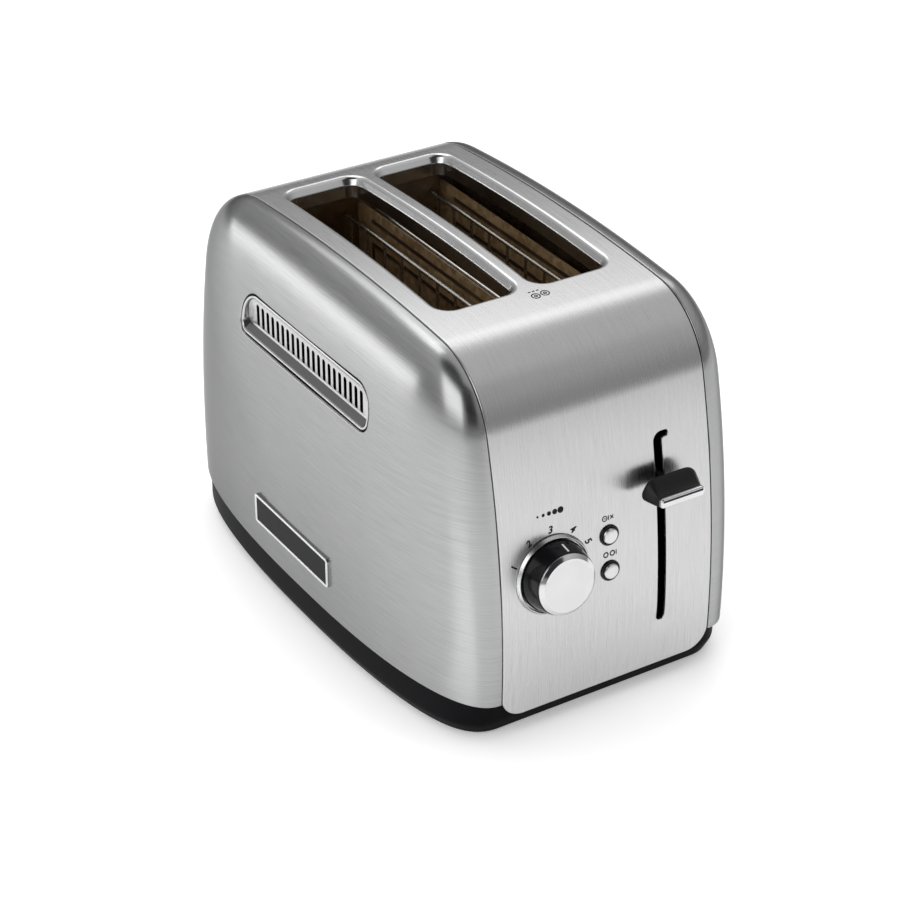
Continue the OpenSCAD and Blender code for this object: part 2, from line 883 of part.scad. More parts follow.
module magnet_coil() {
    d = core_half_d;
    winding = 4;
    color("sienna") placed() translate([magnet_at[0] - 4, magnet_at[1], 0]) difference() {
        block([-winding, -d - winding, floor_z + 4], [core_leg + winding, d + winding, magnet_top - 3]);
        block([0, -d, 0], [core_leg, d, magnet_top + 1]);
    }
}

module mains_switch() {
    color("white") placed() {
        block([46, -104, floor_z], [55, -86, 32]);
        block([46.8, -98, 32], [50, -92, 36]);
    }
}

module terminal_block() {
    color("white") placed() difference() {
        block([-63, 108, floor_z], [-49, 120, 18]);
        for (y = [110.5, 114, 117.5]) {
            translate([-70, y, 12]) rotate([0, 90, 0]) cylinder(h = 25, r = 1.4);
        }
    }
}

// ---- Controls ----------------------------------------------------------------

board_back = -21.6;
board_t = 1.6;
board_x = [-22, 43];
board_up = [-62, 38];

module board_slab(grow) {
    on_face(dial_x, dial_z) translate([board_x[0] - grow, board_up[0] - grow, board_back - grow])
        cube([board_x[1] - board_x[0] + 2 * grow, board_up[1] - board_up[0] + 2 * grow, board_t + 2 * grow]);
}

module control_board() {
    color("darkgreen") placed() board_slab(0);
}

board_front = board_back + board_t;
pot_h = 9;

module shade_potentiometer() {
    color("steelblue") placed() on_face(dial_x, dial_z) translate([0, 0, board_front]) difference() {
        cylinder(h = pot_h, r = 8.5);
        translate([0, 0, 2.5]) cylinder(h = pot_h, r = shaft_r + 0.06);
    }
}

ring_h = 2.2;
ring_inner_r = 18.3;
knob_skirt_r = 17.7;
knob_top_r = 15.7;
knob_low = 0.8;
knob_high = 11;
cap_h = 2.8;
cap_r = 15.2;
bore_depth = 8;

module dial_ring() {
    r = dial_ring_r;
    color(chrome) placed() on_face(dial_x, dial_z) rotate_extrude($fn = 96)
        polygon([[ring_inner_r, 0.05], [r, 0.05], [r, 0.7], [r - 0.9, ring_h],
            [ring_inner_r + 0.5, ring_h], [ring_inner_r, ring_h - 0.6]]);
}

module knob_shaft() {
    color(chrome) placed() on_face(dial_x, dial_z) translate([0, 0, board_front + 3])
        cylinder(h = knob_low + bore_depth - board_front - 3, r = shaft_r);
}

pointer_angle = 8;
pointer_l = 6;

// Bar that lies along the knob's sloping side at the pointer's angle
module pointer_bar(w, proud) {
    slope = atan2(knob_skirt_r - knob_top_r, knob_high - knob_low);
    rotate([0, 0, -pointer_angle]) translate([0, knob_top_r, knob_high]) rotate([-slope, 0, 0])
        translate([-w / 2, -0.8, -pointer_l]) cube([w, 0.8 + proud, pointer_l - 0.2]);
}

module knob_body() {
    color("black") placed() on_face(dial_x, dial_z) difference() {
        rotate_extrude($fn = 96) polygon([[0, knob_low], [knob_skirt_r - 0.5, knob_low],
            [knob_skirt_r, knob_low + 0.6], [knob_top_r, knob_high], [0, knob_high]]);
        translate([0, 0, knob_low - 1]) cylinder(h = bore_depth + 1, r = shaft_r);
        pointer_bar(1, 1);
    }
}

module knob_cap() {
    z = knob_high;
    color(chrome) placed() on_face(dial_x, dial_z) rotate_extrude($fn = 96)
        polygon([[0, z], [cap_r, z], [cap_r, z + cap_h - 1.3], [cap_r - 0.4, z + cap_h - 0.6],
            [cap_r - 1.3, z + cap_h - 0.15], [0, z + cap_h]]);
}

module knob_pointer() {
    color("white") placed() on_face(dial_x, dial_z) pointer_bar(1, 0.05);
}

button_r = 3.9;
button_out = 2.2;
button_travel = 1.8;
button_ring_r = 5.2;
stem_r = 1.6;
switch_h = 4;
stem_end = board_front + switch_h + button_travel + 0.2;

// The sheet curves away from the controls' common plane by less than this
face_gap = 0.15;

module button_ring(z) {
    color("black") placed() on_face(button_x, z) difference() {
        union() {
            translate([0, 0, face_gap]) cylinder(h = 0.9 - face_gap, r = button_ring_r);
            translate([0, 0, -3]) cylinder(h = 3.2, r = button_hole_r - 0.05);
        }
        translate([0, 0, -4]) cylinder(h = 6, r = button_r + 0.3);
    }
}

module button_ring_upper() {
    button_ring(button_z[0]);
}

module button_ring_lower() {
    button_ring(button_z[1]);
}

module push_button(z) {
    color(chrome) placed() on_face(button_x, z) {
        rotate_extrude() polygon([[0, -2.5], [button_r, -2.5], [button_r, button_out - 1],
            [button_r - 0.7, button_out - 0.2], [0, button_out]]);
        translate([0, 0, stem_end]) cylinder(h = -2.4 - stem_end, r = stem_r);
    }
}

module cancel_button() {
    push_button(button_z[0]);
}

module bagel_button() {
    push_button(button_z[1]);
}

module tact_switch(z) {
    color("darkslategray") placed() on_face(button_x, z) translate([-3.5, -3.5, board_front + face_gap])
        cube([7, 7, switch_h - face_gap]);
}

module cancel_switch() {
    tact_switch(button_z[0]);
}

module bagel_switch() {
    tact_switch(button_z[1]);
}

// ---- Fasteners ----------------------------------------------------------------

module screw(l) {
    cylinder(h = 1, r = screw_head_r);
    cylinder(h = l, r = screw_r);
}

module base_screws() {
    color("gray") placed() at_tab_screws() translate([0, 0, foot_h + 0.2]) screw(7);
}

module frame_screws() {
    color("gray") placed() for (sx = [-1, 1]) {
        for (z = reflector_screw_z) {
            translate([sx * reflector_screw_x, frame_y[0] - 1, z]) rotate([-90, 0, 0]) screw(5);
            translate([sx * reflector_screw_x, frame_y[1] + 1, z]) rotate([90, 0, 0]) screw(5);
        }
    }
}

wrap_panel();
side_shell_left();
side_shell_right();
vent_grille_left();
vent_grille_right();
badge_frame();
badge_plate();
base_tray();
feet();
crumb_tray();
crumb_tray_handle();
cord_gland();
front_frame();
rear_frame();
reflector_left();
reflector_right();
heater_card_left();
heater_card_centre();
heater_card_right();
heater_ribbon_left();
heater_ribbon_centre();
heater_ribbon_right();
guard_left_outer();
guard_left_inner();
guard_right_inner();
guard_right_outer();
rack_left();
rack_right();
carriage();
carriage_bush();
lever_arm();
lever_handle();
lever_trim();
armature();
guide_rod();
lift_spring();
magnet_core();
magnet_coil();
control_board();
shade_potentiometer();
cancel_switch();
bagel_switch();
mains_switch();
terminal_block();
dial_ring();
knob_shaft();
knob_body();
knob_cap();
knob_pointer();
button_ring_upper();
button_ring_lower();
cancel_button();
bagel_button();
base_screws();
frame_screws();
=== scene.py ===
"""Looks of a two-slice pop-up toaster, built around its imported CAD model.

Shapes are worked out in millimetres in the body frame of the CAD source (x to
the right, y to the rear, z up, origin under the middle of the wrap) and are
moved to the row frame, in metres, when a mesh is made.
"""

import json
import math

import bmesh
import bpy
import numpy as np
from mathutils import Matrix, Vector, geometry


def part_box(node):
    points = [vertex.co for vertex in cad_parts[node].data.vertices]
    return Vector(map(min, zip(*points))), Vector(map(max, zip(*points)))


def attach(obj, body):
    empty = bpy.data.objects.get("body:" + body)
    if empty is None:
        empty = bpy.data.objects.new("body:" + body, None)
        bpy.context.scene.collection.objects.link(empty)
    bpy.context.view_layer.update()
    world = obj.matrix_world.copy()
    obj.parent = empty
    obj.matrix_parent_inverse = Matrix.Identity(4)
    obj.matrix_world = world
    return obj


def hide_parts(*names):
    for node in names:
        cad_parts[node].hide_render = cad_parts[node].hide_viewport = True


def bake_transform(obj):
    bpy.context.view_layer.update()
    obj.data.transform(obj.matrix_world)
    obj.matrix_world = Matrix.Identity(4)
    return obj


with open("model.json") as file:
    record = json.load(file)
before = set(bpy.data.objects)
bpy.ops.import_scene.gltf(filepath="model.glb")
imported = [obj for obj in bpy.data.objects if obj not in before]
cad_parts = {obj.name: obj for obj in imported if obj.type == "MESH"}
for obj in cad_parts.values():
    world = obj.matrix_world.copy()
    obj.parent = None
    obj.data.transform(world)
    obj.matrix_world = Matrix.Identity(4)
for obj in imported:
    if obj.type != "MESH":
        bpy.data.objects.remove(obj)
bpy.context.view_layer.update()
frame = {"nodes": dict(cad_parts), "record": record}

MM = 0.001
wrap_low, wrap_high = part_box("wrap_panel")
ORIGIN = np.array([(wrap_low.x + wrap_high.x) / 2, (wrap_low.y + wrap_high.y) / 2, 0.0])


def body_point(point):
    """A point of the scene in the body frame, in millimetres."""
    return (np.array(point) - ORIGIN) / MM


def span(node):
    """A CAD node's lowest and highest corner in the body frame."""
    low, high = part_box(node)
    return body_point(low), body_point(high)


# ---- Camera ------------------------------------------------------------------

CAMERA_TARGET = Vector((-0.01819, -0.03156, 0.0891))
CAMERA_AZIMUTH = math.radians(31.94)
CAMERA_ELEVATION = math.radians(30.93)
CAMERA_DISTANCE = 1.24574
CAMERA_LENS = 101.05


def add_camera():
    away = Vector(
        (
            -math.sin(CAMERA_AZIMUTH) * math.cos(CAMERA_ELEVATION),
            -math.cos(CAMERA_AZIMUTH) * math.cos(CAMERA_ELEVATION),
            math.sin(CAMERA_ELEVATION),
        )
    )
    data = bpy.data.cameras.new("camera")
    data.lens = CAMERA_LENS
    camera = bpy.data.objects.new("camera", data)
    bpy.context.scene.collection.objects.link(camera)
    camera.location = CAMERA_TARGET + away * CAMERA_DISTANCE
    camera.rotation_euler = (-away).to_track_quat("-Z", "Y").to_euler()
    bpy.context.scene.camera = camera


add_camera()

# ---- Driving sizes, millimetres in the body frame --------------------------------

wrap_a, wrap_b = span("wrap_panel")
HALF_L = wrap_b[1]
HALF_W = wrap_b[0]
BODY_H = wrap_b[2]
WRAP_BOTTOM = wrap_a[2]
WIDEST_Z = 38.5
FACE_R = 489.0
TOP_R = 1082.0
SHOULDER_R = 42.0
SHELL_X = HALF_W + 0.5
SHELL_BOW = 31.0
SHELL_BOTTOM = span("side_shell_right")[0][2]
SLOT_SIZE = (43.3, 152.0)
SLOT_X = 25.35
SLOT_Y = 9.0
SLOT_R = 9.0
LIP_OUT = 2.0
LIP_R = 3.0
LIP_SLOPE = math.radians(58)
LIP_RUN = 1.2
LIP_TURN_R = 2.0
LIP_DROP = 6.0
LEVER_X = 30.0
LEVER_SLOT = (37.0, 135.0)
DIAL_X = -31.0
DIAL_Z = 83.0
BUTTON_X = 0.4
BUTTON_Z = (92.9, 74.6)

FACE_C = (HALF_L - FACE_R, WIDEST_Z)
TOP_C = (0.0, BODY_H - TOP_R)


def circles_meet(a, ra, b, rb):
    """The upper one of the two points where two circles cross."""
    dx, dy = b[0] - a[0], b[1] - a[1]
    d = math.hypot(dx, dy)
    k = (ra * ra - rb * rb + d * d) / (2 * d)
    h = math.sqrt(ra * ra - k * k)
    return a[0] + (k * dx - h * dy) / d, a[1] + (k * dy + h * dx) / d


SHOULDER_C = circles_meet(FACE_C, FACE_R - SHOULDER_R, TOP_C, TOP_R - SHOULDER_R)
FACE_END = math.atan2(SHOULDER_C[1] - FACE_C[1], SHOULDER_C[0] - FACE_C[0])
TOP_END = math.atan2(SHOULDER_C[1] - TOP_C[1], SHOULDER_C[0] - TOP_C[0])
S_TOP = TOP_R * (math.pi / 2 - TOP_END)
S_SHOULDER = S_TOP + SHOULDER_R * (TOP_END - FACE_END)


def front_s(z):
    """Distance along the wrap from its crown to height z on the front or rear sheet."""
    return S_SHOULDER + FACE_R * (FACE_END - np.arcsin((z - WIDEST_Z) / FACE_R))


S_END = front_s(WRAP_BOTTOM)


def profile(s):
    """Point and outward normal (y, z) of the side outline, s along it from the crown to the front."""
    s = np.asarray(s, float)
    a = np.abs(s)
    on_top, on_face = a < S_TOP, a > S_SHOULDER

    def pick(top, face, shoulder):
        return np.where(on_top, top, np.where(on_face, face, shoulder))

    angle = pick(
        math.pi / 2 - a / TOP_R,
        FACE_END - (a - S_SHOULDER) / FACE_R,
        TOP_END - (a - S_TOP) / SHOULDER_R,
    )
    radius = pick(TOP_R, FACE_R, SHOULDER_R)
    cy, cz = (pick(TOP_C[i], FACE_C[i], SHOULDER_C[i]) for i in (0, 1))
    side = np.where(s >= 0, -1.0, 1.0)
    ny, nz = side * np.cos(angle), np.sin(angle)
    return side * (cy + radius * np.cos(angle)), cz + radius * np.sin(angle), ny, nz


# ---- Mesh tools ------------------------------------------------------------------


def unit(v):
    v = np.asarray(v, float)
    return v / np.maximum(np.linalg.norm(v, axis=-1, keepdims=True), 1e-12)


def grid_faces(rows, cols, closed=False):
    """Quads over rows x cols vertices in row order; closed joins the last column to the first."""
    faces = []
    for r in range(rows - 1):
        for c in range(cols if closed else cols - 1):
            d = (c + 1) % cols
            faces.append((r * cols + c, r * cols + d, (r + 1) * cols + d, (r + 1) * cols + c))
    return faces


def fillet(points, radius, steps=5, closed=False):
    """A polyline with its corners rounded. radius is one number or one for each point."""
    n = len(points)
    radii = radius if hasattr(radius, "__len__") else [radius] * n
    out = []
    for i in range(n):
        p = np.array(points[i], float)
        if radii[i] <= 0 or (not closed and i in (0, n - 1)):
            out.append(p)
            continue
        a, b = np.array(points[i - 1], float), np.array(points[(i + 1) % n], float)
        u, v = unit(a - p), unit(b - p)
        half = math.acos(max(-1.0, min(1.0, float(u @ v)))) / 2
        if abs(half - math.pi / 2) < 1e-3:
            out.append(p)
            continue
        room = 0.49 * min(np.linalg.norm(a - p), np.linalg.norm(b - p))
        cut = min(radii[i] / math.tan(half), room)
        centre = p + unit(u + v) * cut / math.cos(half)
        r = cut * math.tan(half)
        start, end = unit(p + u * cut - centre), unit(p + v * cut - centre)
        sweep = math.pi - 2 * half
        for k in range(steps + 1):
            t = k / steps
            turn = math.sin((1 - t) * sweep) * start + math.sin(t * sweep) * end
            out.append(centre + r * turn / math.sin(sweep))
    return np.array(out)


def round_rect(w, h, radii, step=3.0, arc=8):
    """Closed loop, anticlockwise, round a w x h rectangle about the origin; radii start top right."""
    loop = []
    corners = [(1, 1), (-1, 1), (-1, -1), (1, -1)]
    for i, (sx, sy) in enumerate(corners):
        r = radii[i]
        cx, cy = sx * (w / 2 - r), sy * (h / 2 - r)
        for k in range(arc + 1):
            a = math.pi / 2 * (i + k / arc)
            loop.append((cx + r * math.cos(a), cy + r * math.sin(a)))
    return even_edges(np.array(loop), step)


def even_edges(loop, step):
    """Splits a closed loop's long edges so that none is much longer than step."""
    out = []
    for a, b in zip(loop, np.roll(loop, -1, axis=0)):
        n = max(1, round(float(np.linalg.norm(b - a)) / step))
        if np.linalg.norm(b - a) < 1e-9:
            continue
        out.extend(a + (b - a) * k / n for k in range(n))
    return np.array(out)


def loop_normals(loop):
    """Unit normals of a closed 2D loop: outwards if it runs anticlockwise."""
    t = unit(np.roll(loop, -1, axis=0) - loop) + unit(loop - np.roll(loop, 1, axis=0))
    t = unit(t)
    return np.stack([t[:, 1], -t[:, 0]], axis=1)


def inside(points, loop):
    """Which 2D points lie inside a closed loop."""
    x, y = points[:, 0:1], points[:, 1:2]
    x0, y0 = loop[:, 0], loop[:, 1]
    x1, y1 = np.roll(x0, -1), np.roll(y0, -1)
    crosses = (y0 > y) != (y1 > y)
    with np.errstate(divide="ignore", invalid="ignore"):
        at = x0 + (y - y0) / (y1 - y0) * (x1 - x0)
    return (np.sum(crosses & (x < at), axis=1) % 2) == 1


CHUNK = 4000  # grid points tested against a loop at a time
WELD = 4e-3  # cell in which points of one sheet are taken as one, millimetres


def fill(outline, holes, xs, ys):
    """Triangles inside outline and outside the holes, with grid points where these are clear."""
    loops = [np.asarray(outline)] + [np.asarray(h) for h in holes]
    gap = 0.6 * min(xs[1] - xs[0], ys[1] - ys[0])
    grid = np.array([(x, y) for y in ys for x in xs])
    keep = inside(grid, loops[0])
    for h in loops[1:]:
        keep &= ~inside(grid, h)
    for loop in loops:
        far = np.ones(len(grid), bool)
        for start in range(0, len(grid), CHUNK):
            part = grid[start : start + CHUNK]
            a, b = loop, np.roll(loop, -1, axis=0)
            ab = b - a
            t = ((part[:, None] - a) * ab).sum(2) / np.maximum((ab * ab).sum(1), 1e-12)
            near = a + np.clip(t, 0, 1)[..., None] * ab
            far[start : start + CHUNK] = np.linalg.norm(part[:, None] - near, axis=2).min(1) > gap
        keep &= far
    points = np.concatenate(loops + [grid[keep]])
    edges, start = [], 0
    for loop in loops:
        n = len(loop)
        edges += [(start + i, start + (i + 1) % n) for i in range(n)]
        start += n
    verts, _, tris, origin, _, _ = geometry.delaunay_2d_cdt([Vector(p) for p in points], edges, [], 0, 1e-5)
    flat = np.array([points[o[0]] if o else v[:] for v, o in zip(verts, origin)])
    tris = np.array([t for t in tris if len(t) == 3])
    middle = flat[tris].mean(1)
    keep = inside(middle, loops[0])
    for h in loops[1:]:
        keep &= ~inside(middle, h)
    return flat, [tuple(int(i) for i in t) for t in tris[keep]]


class Surface:
    """Patches of one smooth sheet, welded where their edges meet."""

    def __init__(self):
        self.points, self.normals, self.grain, self.faces = [], [], [], []
        self.count = 0

    def add(self, points, normals, faces, grain):
        points, normals = np.reshape(points, (-1, 3)), np.reshape(normals, (-1, 3))
        self.points.append(points)
        self.normals.append(unit(normals))
        self.grain.append(np.reshape(grain, (-1, 2)))
        for f in faces:
            a, b, c = (points[f[k]] for k in (0, 1, 2))
            facing = np.cross(b - a, c - a) @ normals[f[0]]
            if abs(facing) < 1e-12 and len(f) == 4:
                facing = np.cross(points[f[2]] - a, points[f[3]] - a) @ normals[f[0]]
            f = f if facing >= 0 else tuple(reversed(f))
            self.faces.append(tuple(i + self.count for i in f))
        self.count += len(points)

    def build(self, name, thickness, side=1):
        """Mesh data of the sheet, thickness deep behind its outer face. side -1 mirrors it across x = 0."""
        points, normals, grain = (np.concatenate(a) for a in (self.points, self.normals, self.grain))
        key = np.floor(points / WELD + 0.123).astype(np.int64)
        _, first, where = np.unique(key, axis=0, return_index=True, return_inverse=True)
        where = where.reshape(-1)
        n = len(first)
        mean = np.zeros((n, 3))
        np.add.at(mean, where, normals)
        mean = unit(mean)
        outer = points[first]
        verts = np.concatenate([outer, outer - thickness * mean])
        # Each face is a list of corners: vertex, normal, grain
        faces, edges = [], set()
        for f in self.faces:
            ids = [int(where[i]) for i in f]
            use = [k for k in range(len(f)) if ids[k] != ids[k - 1]]
            if len(use) < 3:
                continue
            faces.append([(ids[k], normals[f[k]], grain[f[k]]) for k in use])
            ids = [ids[k] for k in use]
            edges.update(zip(ids, ids[1:] + ids[:1]))
        sheet = len(faces)
        for face in faces[:sheet]:
            faces.append([(i + n, -mean[i], grain[first[i]]) for i, _, _ in reversed(face)])
        for a, b in sorted(edges):
            if (b, a) not in edges:
                flat = unit(np.cross(verts[a] - verts[b], verts[a + n] - verts[b]))
                faces.append([(i, flat, grain[first[i % n]]) for i in (b, a, a + n, b + n)])
        if side < 0:
            faces = [face[::-1] for face in faces]
        corners = [corner for face in faces for corner in face]
        mirror = np.array([side, 1, 1])
        mesh = bpy.data.meshes.new(name)
        points = verts * mirror * MM + ORIGIN
        mesh.from_pydata(points.tolist(), [], [[corner[0] for corner in face] for face in faces])
        mesh.update()
        layer = mesh.uv_layers.new(name="grain")
        layer.data.foreach_set("uv", (np.array([corner[2] for corner in corners]) * MM).ravel())
        mesh.polygons.foreach_set("use_smooth", [True] * len(faces))
        inside = [int(sheet <= i < 2 * sheet) for i in range(len(faces))]
        mesh.polygons.foreach_set("material_index", inside)
        mesh.normals_split_custom_set([tuple(corner[1] * mirror) for corner in corners])
        return mesh


def solid_mesh(name, points, faces, crease=32.0):
    """Mesh data of a closed solid, smooth but for edges sharper than crease degrees."""

    mesh = bpy.data.meshes.new(name)
    mesh.from_pydata((np.asarray(points, float) * MM + ORIGIN).tolist(), [], faces)
    bm = bmesh.new()
    bm.from_mesh(mesh)
    bmesh.ops.remove_doubles(bm, verts=bm.verts, dist=2e-6)
    bmesh.ops.dissolve_degenerate(bm, edges=bm.edges, dist=1e-7)
    bmesh.ops.recalc_face_normals(bm, faces=bm.faces)
    bm.to_mesh(mesh)
    bm.free()
    mesh.polygons.foreach_set("use_smooth", [True] * len(mesh.polygons))
    mesh.set_sharp_from_angle(angle=math.radians(crease))
    return mesh


def piece(name, mesh, material, body, slot, *replaced):
    """Adds a piece to the scene, on its CAD body, in place of the CAD nodes it stands for."""
    obj = bpy.data.objects.new(name, mesh)
    bpy.context.scene.collection.objects.link(obj)
    for m in material if isinstance(material, (list, tuple)) else [material]:
        mesh.materials.append(m)
    if body:
        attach(obj, body)
    if replaced:
        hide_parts(*replaced)
    return obj


def solid(name, shape, material, body, slot, *replaced, crease=32.0):
    """Adds a piece that is a closed solid; shape is its points and faces."""
    return piece(name, solid_mesh(name, *shape, crease), material, body, slot, *replaced)


def shifted(faces, start):
    """The faces of a mesh whose points come after start others."""
    return [tuple(i + start for i in face) for face in faces]


def loft(rings, caps=True):
    """Points and faces through rings of equal length, closed round, with flat end caps."""
    rings = [np.asarray(r, float) for r in rings]
    cols = len(rings[0])
    faces = grid_faces(len(rings), cols, closed=True)
    if caps:
        faces.append(tuple(range(cols)))
        faces.append(tuple((len(rings) - 1) * cols + i for i in range(cols)))
    return np.concatenate(rings), faces


def on_face(x, z, local):
    """Points given out from the control face at (x, z): local x, up the face, and out of it."""
    lean = math.asin((DIAL_Z - WIDEST_Z) / FACE_R)
    local = np.asarray(local, float)
    y0 = -(FACE_C[0] + math.sqrt(FACE_R**2 - (z - WIDEST_Z) ** 2))
    up = np.array([0, math.sin(lean), math.cos(lean)])
    out = np.array([0, -math.cos(lean), math.sin(lean)])
    across = np.array([1.0, 0, 0])
    return np.array([x, y0, z]) + local[:, 0:1] * across + local[:, 1:2] * up + local[:, 2:3] * out


def turned(outline, x, z, segments=128):
    """A solid turned about the control face's normal at (x, z); outline lists (radius, height)."""
    a = np.linspace(0, 2 * math.pi, segments, endpoint=False)
    rings = [np.stack([r * np.cos(a), r * np.sin(a), np.full(segments, h)], axis=1) for r, h in outline]
    hollow = outline[0][0] > 0.01
    if hollow:
        rings.append(rings[0])
    points, faces = loft(rings, caps=not hollow)
    return on_face(x, z, points), faces


# ---- Materials -------------------------------------------------------------------


class Material:
    """A node material with short names for the nodes that the finishes share."""

    def __init__(self, name, color, roughness, metallic=0.0, **constants):
        self.data = bpy.data.materials.new(name)
        self.data.use_nodes = True
        self.tree = self.data.node_tree
        self.tree.nodes.clear()
        out = self.node("ShaderNodeOutputMaterial")
        self.bsdf = self.node("ShaderNodeBsdfPrincipled")
        self.tree.links.new(self.bsdf.outputs["BSDF"], out.inputs["Surface"])
        self.set("Base Color", (*color, 1.0))
        self.set("Roughness", roughness)
        self.set("Metallic", metallic)
        for key, value in constants.items():
            self.set(key.replace("_", " "), value)
        self.coords = self.node("ShaderNodeTexCoord").outputs["Object"]

    def node(self, kind, **attributes):
        n = self.tree.nodes.new(kind)
        for key, value in attributes.items():
            setattr(n, key, value)
        return n

    def set(self, socket, value):
        target = self.bsdf.inputs[socket]
        if isinstance(value, bpy.types.NodeSocket):
            self.tree.links.new(value, target)
        else:
            target.default_value = value

    def link(self, a, b):
        self.tree.links.new(a, b)

    def uv(self):
        return self.node("ShaderNodeUVMap", uv_map="grain").outputs["UV"]

    def scaled(self, source, scale):
        m = self.node("ShaderNodeMapping")
        m.inputs["Scale"].default_value = scale
        self.link(source, m.inputs["Vector"])
        return m.outputs["Vector"]

    def noise(self, source, scale=1.0, detail=2.0, roughness=0.5, dims="3D", distortion=0.0):
        n = self.node("ShaderNodeTexNoise", noise_dimensions=dims)
        n.inputs["Scale"].default_value = scale
        n.inputs["Detail"].default_value = detail
        n.inputs["Roughness"].default_value = roughness
        n.inputs["Distortion"].default_value = distortion
        self.link(source, n.inputs["Vector"])
        return n.outputs["Fac"]

    def voronoi(self, source, scale=1.0, feature="F1", output="Distance"):
        n = self.node("ShaderNodeTexVoronoi", feature=feature)
        n.inputs["Scale"].default_value = scale
        self.link(source, n.inputs["Vector"])
        return n.outputs[output]

    def to_range(self, source, low, high, start=0.0, end=1.0):
        n = self.node("ShaderNodeMapRange")
        for key, value in (("From Min", start), ("From Max", end), ("To Min", low), ("To Max", high)):
            n.inputs[key].default_value = value
        self.link(source, n.inputs["Value"])
        return n.outputs["Result"]

    def math(self, operation, a, b):
        n = self.node("ShaderNodeMath", operation=operation)
        for i, v in enumerate((a, b)):
            if isinstance(v, bpy.types.NodeSocket):
                self.link(v, n.inputs[i])
            else:
                n.inputs[i].default_value = v
        return n.outputs[0]

    def total(self, a, b):
        return self.math("ADD", a, b)

    def mixed(self, a, share, b):
        """share of a, and the rest b."""
        return self.total(self.math("MULTIPLY", a, share), self.math("MULTIPLY", b, 1 - share))

    def ramp(self, source, *stops):
        n = self.node("ShaderNodeValToRGB")
        elements = n.color_ramp.elements
        while len(elements) < len(stops):
            elements.new(0.5)
        for e, (at, color) in zip(elements, stops):
            e.position = at
            e.color = (*color, 1.0)
        self.link(source, n.inputs["Fac"])
        return n.outputs["Color"]

    def bump(self, height, strength, distance):
        n = self.node("ShaderNodeBump")
        n.inputs["Strength"].default_value = strength
        n.inputs["Distance"].default_value = distance
        self.link(height, n.inputs["Height"])
        return n.outputs["Normal"]


def tinted(color, k):
    return tuple(min(1.0, c * k) for c in color)


def brushed(name, color, roughness, depth=0.000006, contrast=1.0, edge=0.8):
    """Brushed sheet: hairlines along the second grain coordinate, in metres, under faint clouds."""
    m = Material(name, color, roughness, 1.0, Anisotropic=0.6, Specular_Tint=(edge, edge, edge, 1.0))
    grain = m.uv()
    fine = m.noise(m.scaled(grain, (3600, 60, 1)), detail=1.0, dims="2D")
    medium = m.noise(m.scaled(grain, (1500, 30, 1)), detail=1.5, dims="2D")
    cloud = m.noise(m.coords, scale=11.0, detail=3.0)
    lines = m.mixed(fine, 0.55, medium)
    tone = m.mixed(lines, 0.85, cloud)
    dark, light = tinted(color, 1 - 0.09 * contrast), tinted(color, 1 + 0.08 * contrast)
    m.set("Base Color", m.ramp(tone, (0.3, dark), (0.5, color), (0.7, light)))
    streaks = m.to_range(lines, roughness - 0.05, roughness + 0.05)
    m.set("Roughness", m.total(streaks, m.to_range(cloud, -0.02, 0.02)))
    m.set("Normal", m.bump(lines, 0.3, depth))
    tangent = m.node("ShaderNodeTangent", direction_type="UV_MAP", uv_map="grain")
    m.set("Tangent", tangent.outputs["Tangent"])
    return m.data


def polished(name, color, roughness, smudge=0.06):
    """Plated or polished metal with faint smudges and hair scratches."""
    m = Material(name, color, roughness, 1.0)
    cloud = m.noise(m.coords, scale=60.0, detail=4.0)
    scratch = m.noise(m.scaled(m.coords, (400, 2600, 900)), detail=1.0)
    smudges = m.to_range(cloud, roughness, roughness + smudge)
    m.set("Roughness", m.total(smudges, m.to_range(scratch, -0.015, 0.03)))
    m.set("Base Color", m.ramp(cloud, (0.3, tinted(color, 0.93)), (0.7, color)))
    m.set("Normal", m.bump(scratch, 0.12, 0.000004))
    return m.data


def sheet_metal(name, color, roughness, heat=None):
    """Bare or zinc-coated sheet with spangle, and heat tint if a colour is given."""
    m = Material(name, color, roughness, 1.0)
    spangle = m.voronoi(m.coords, scale=160.0)
    cloud = m.noise(m.coords, scale=22.0, detail=5.0)
    worn = tinted(heat or color, 1.0 if heat else 0.75)
    m.set("Base Color", m.ramp(cloud, (0.32, worn), (0.6, color), (0.8, tinted(color, 1.1))))
    clouded = m.to_range(cloud, roughness - 0.06, roughness + 0.1)
    m.set("Roughness", m.total(clouded, m.to_range(spangle, -0.04, 0.05)))
    m.set("Normal", m.bump(spangle, 0.15, 0.00003))
    return m.data


def plastic(name, color, roughness, pebble=0.0, size=0.0004, vary=0.15, **constants):
    """Moulded plastic or rubber: a fine pebble in its gloss and relief, and a slow change of tone."""
    m = Material(name, color, roughness, 0.0, **constants)
    grain = m.noise(m.coords, scale=1.0 / size, detail=2.0)
    cloud = m.noise(m.coords, scale=30.0, detail=4.0)
    m.set("Base Color", m.ramp(cloud, (0.3, tinted(color, 1 - vary)), (0.7, tinted(color, 1 + vary))))
    clouded = m.to_range(cloud, roughness - 0.04, roughness + 0.04)
    m.set("Roughness", m.total(clouded, m.to_range(grain, -0.05, 0.05)))
    if pebble:
        m.set("Normal", m.bump(grain, 0.6, pebble))
    return m.data


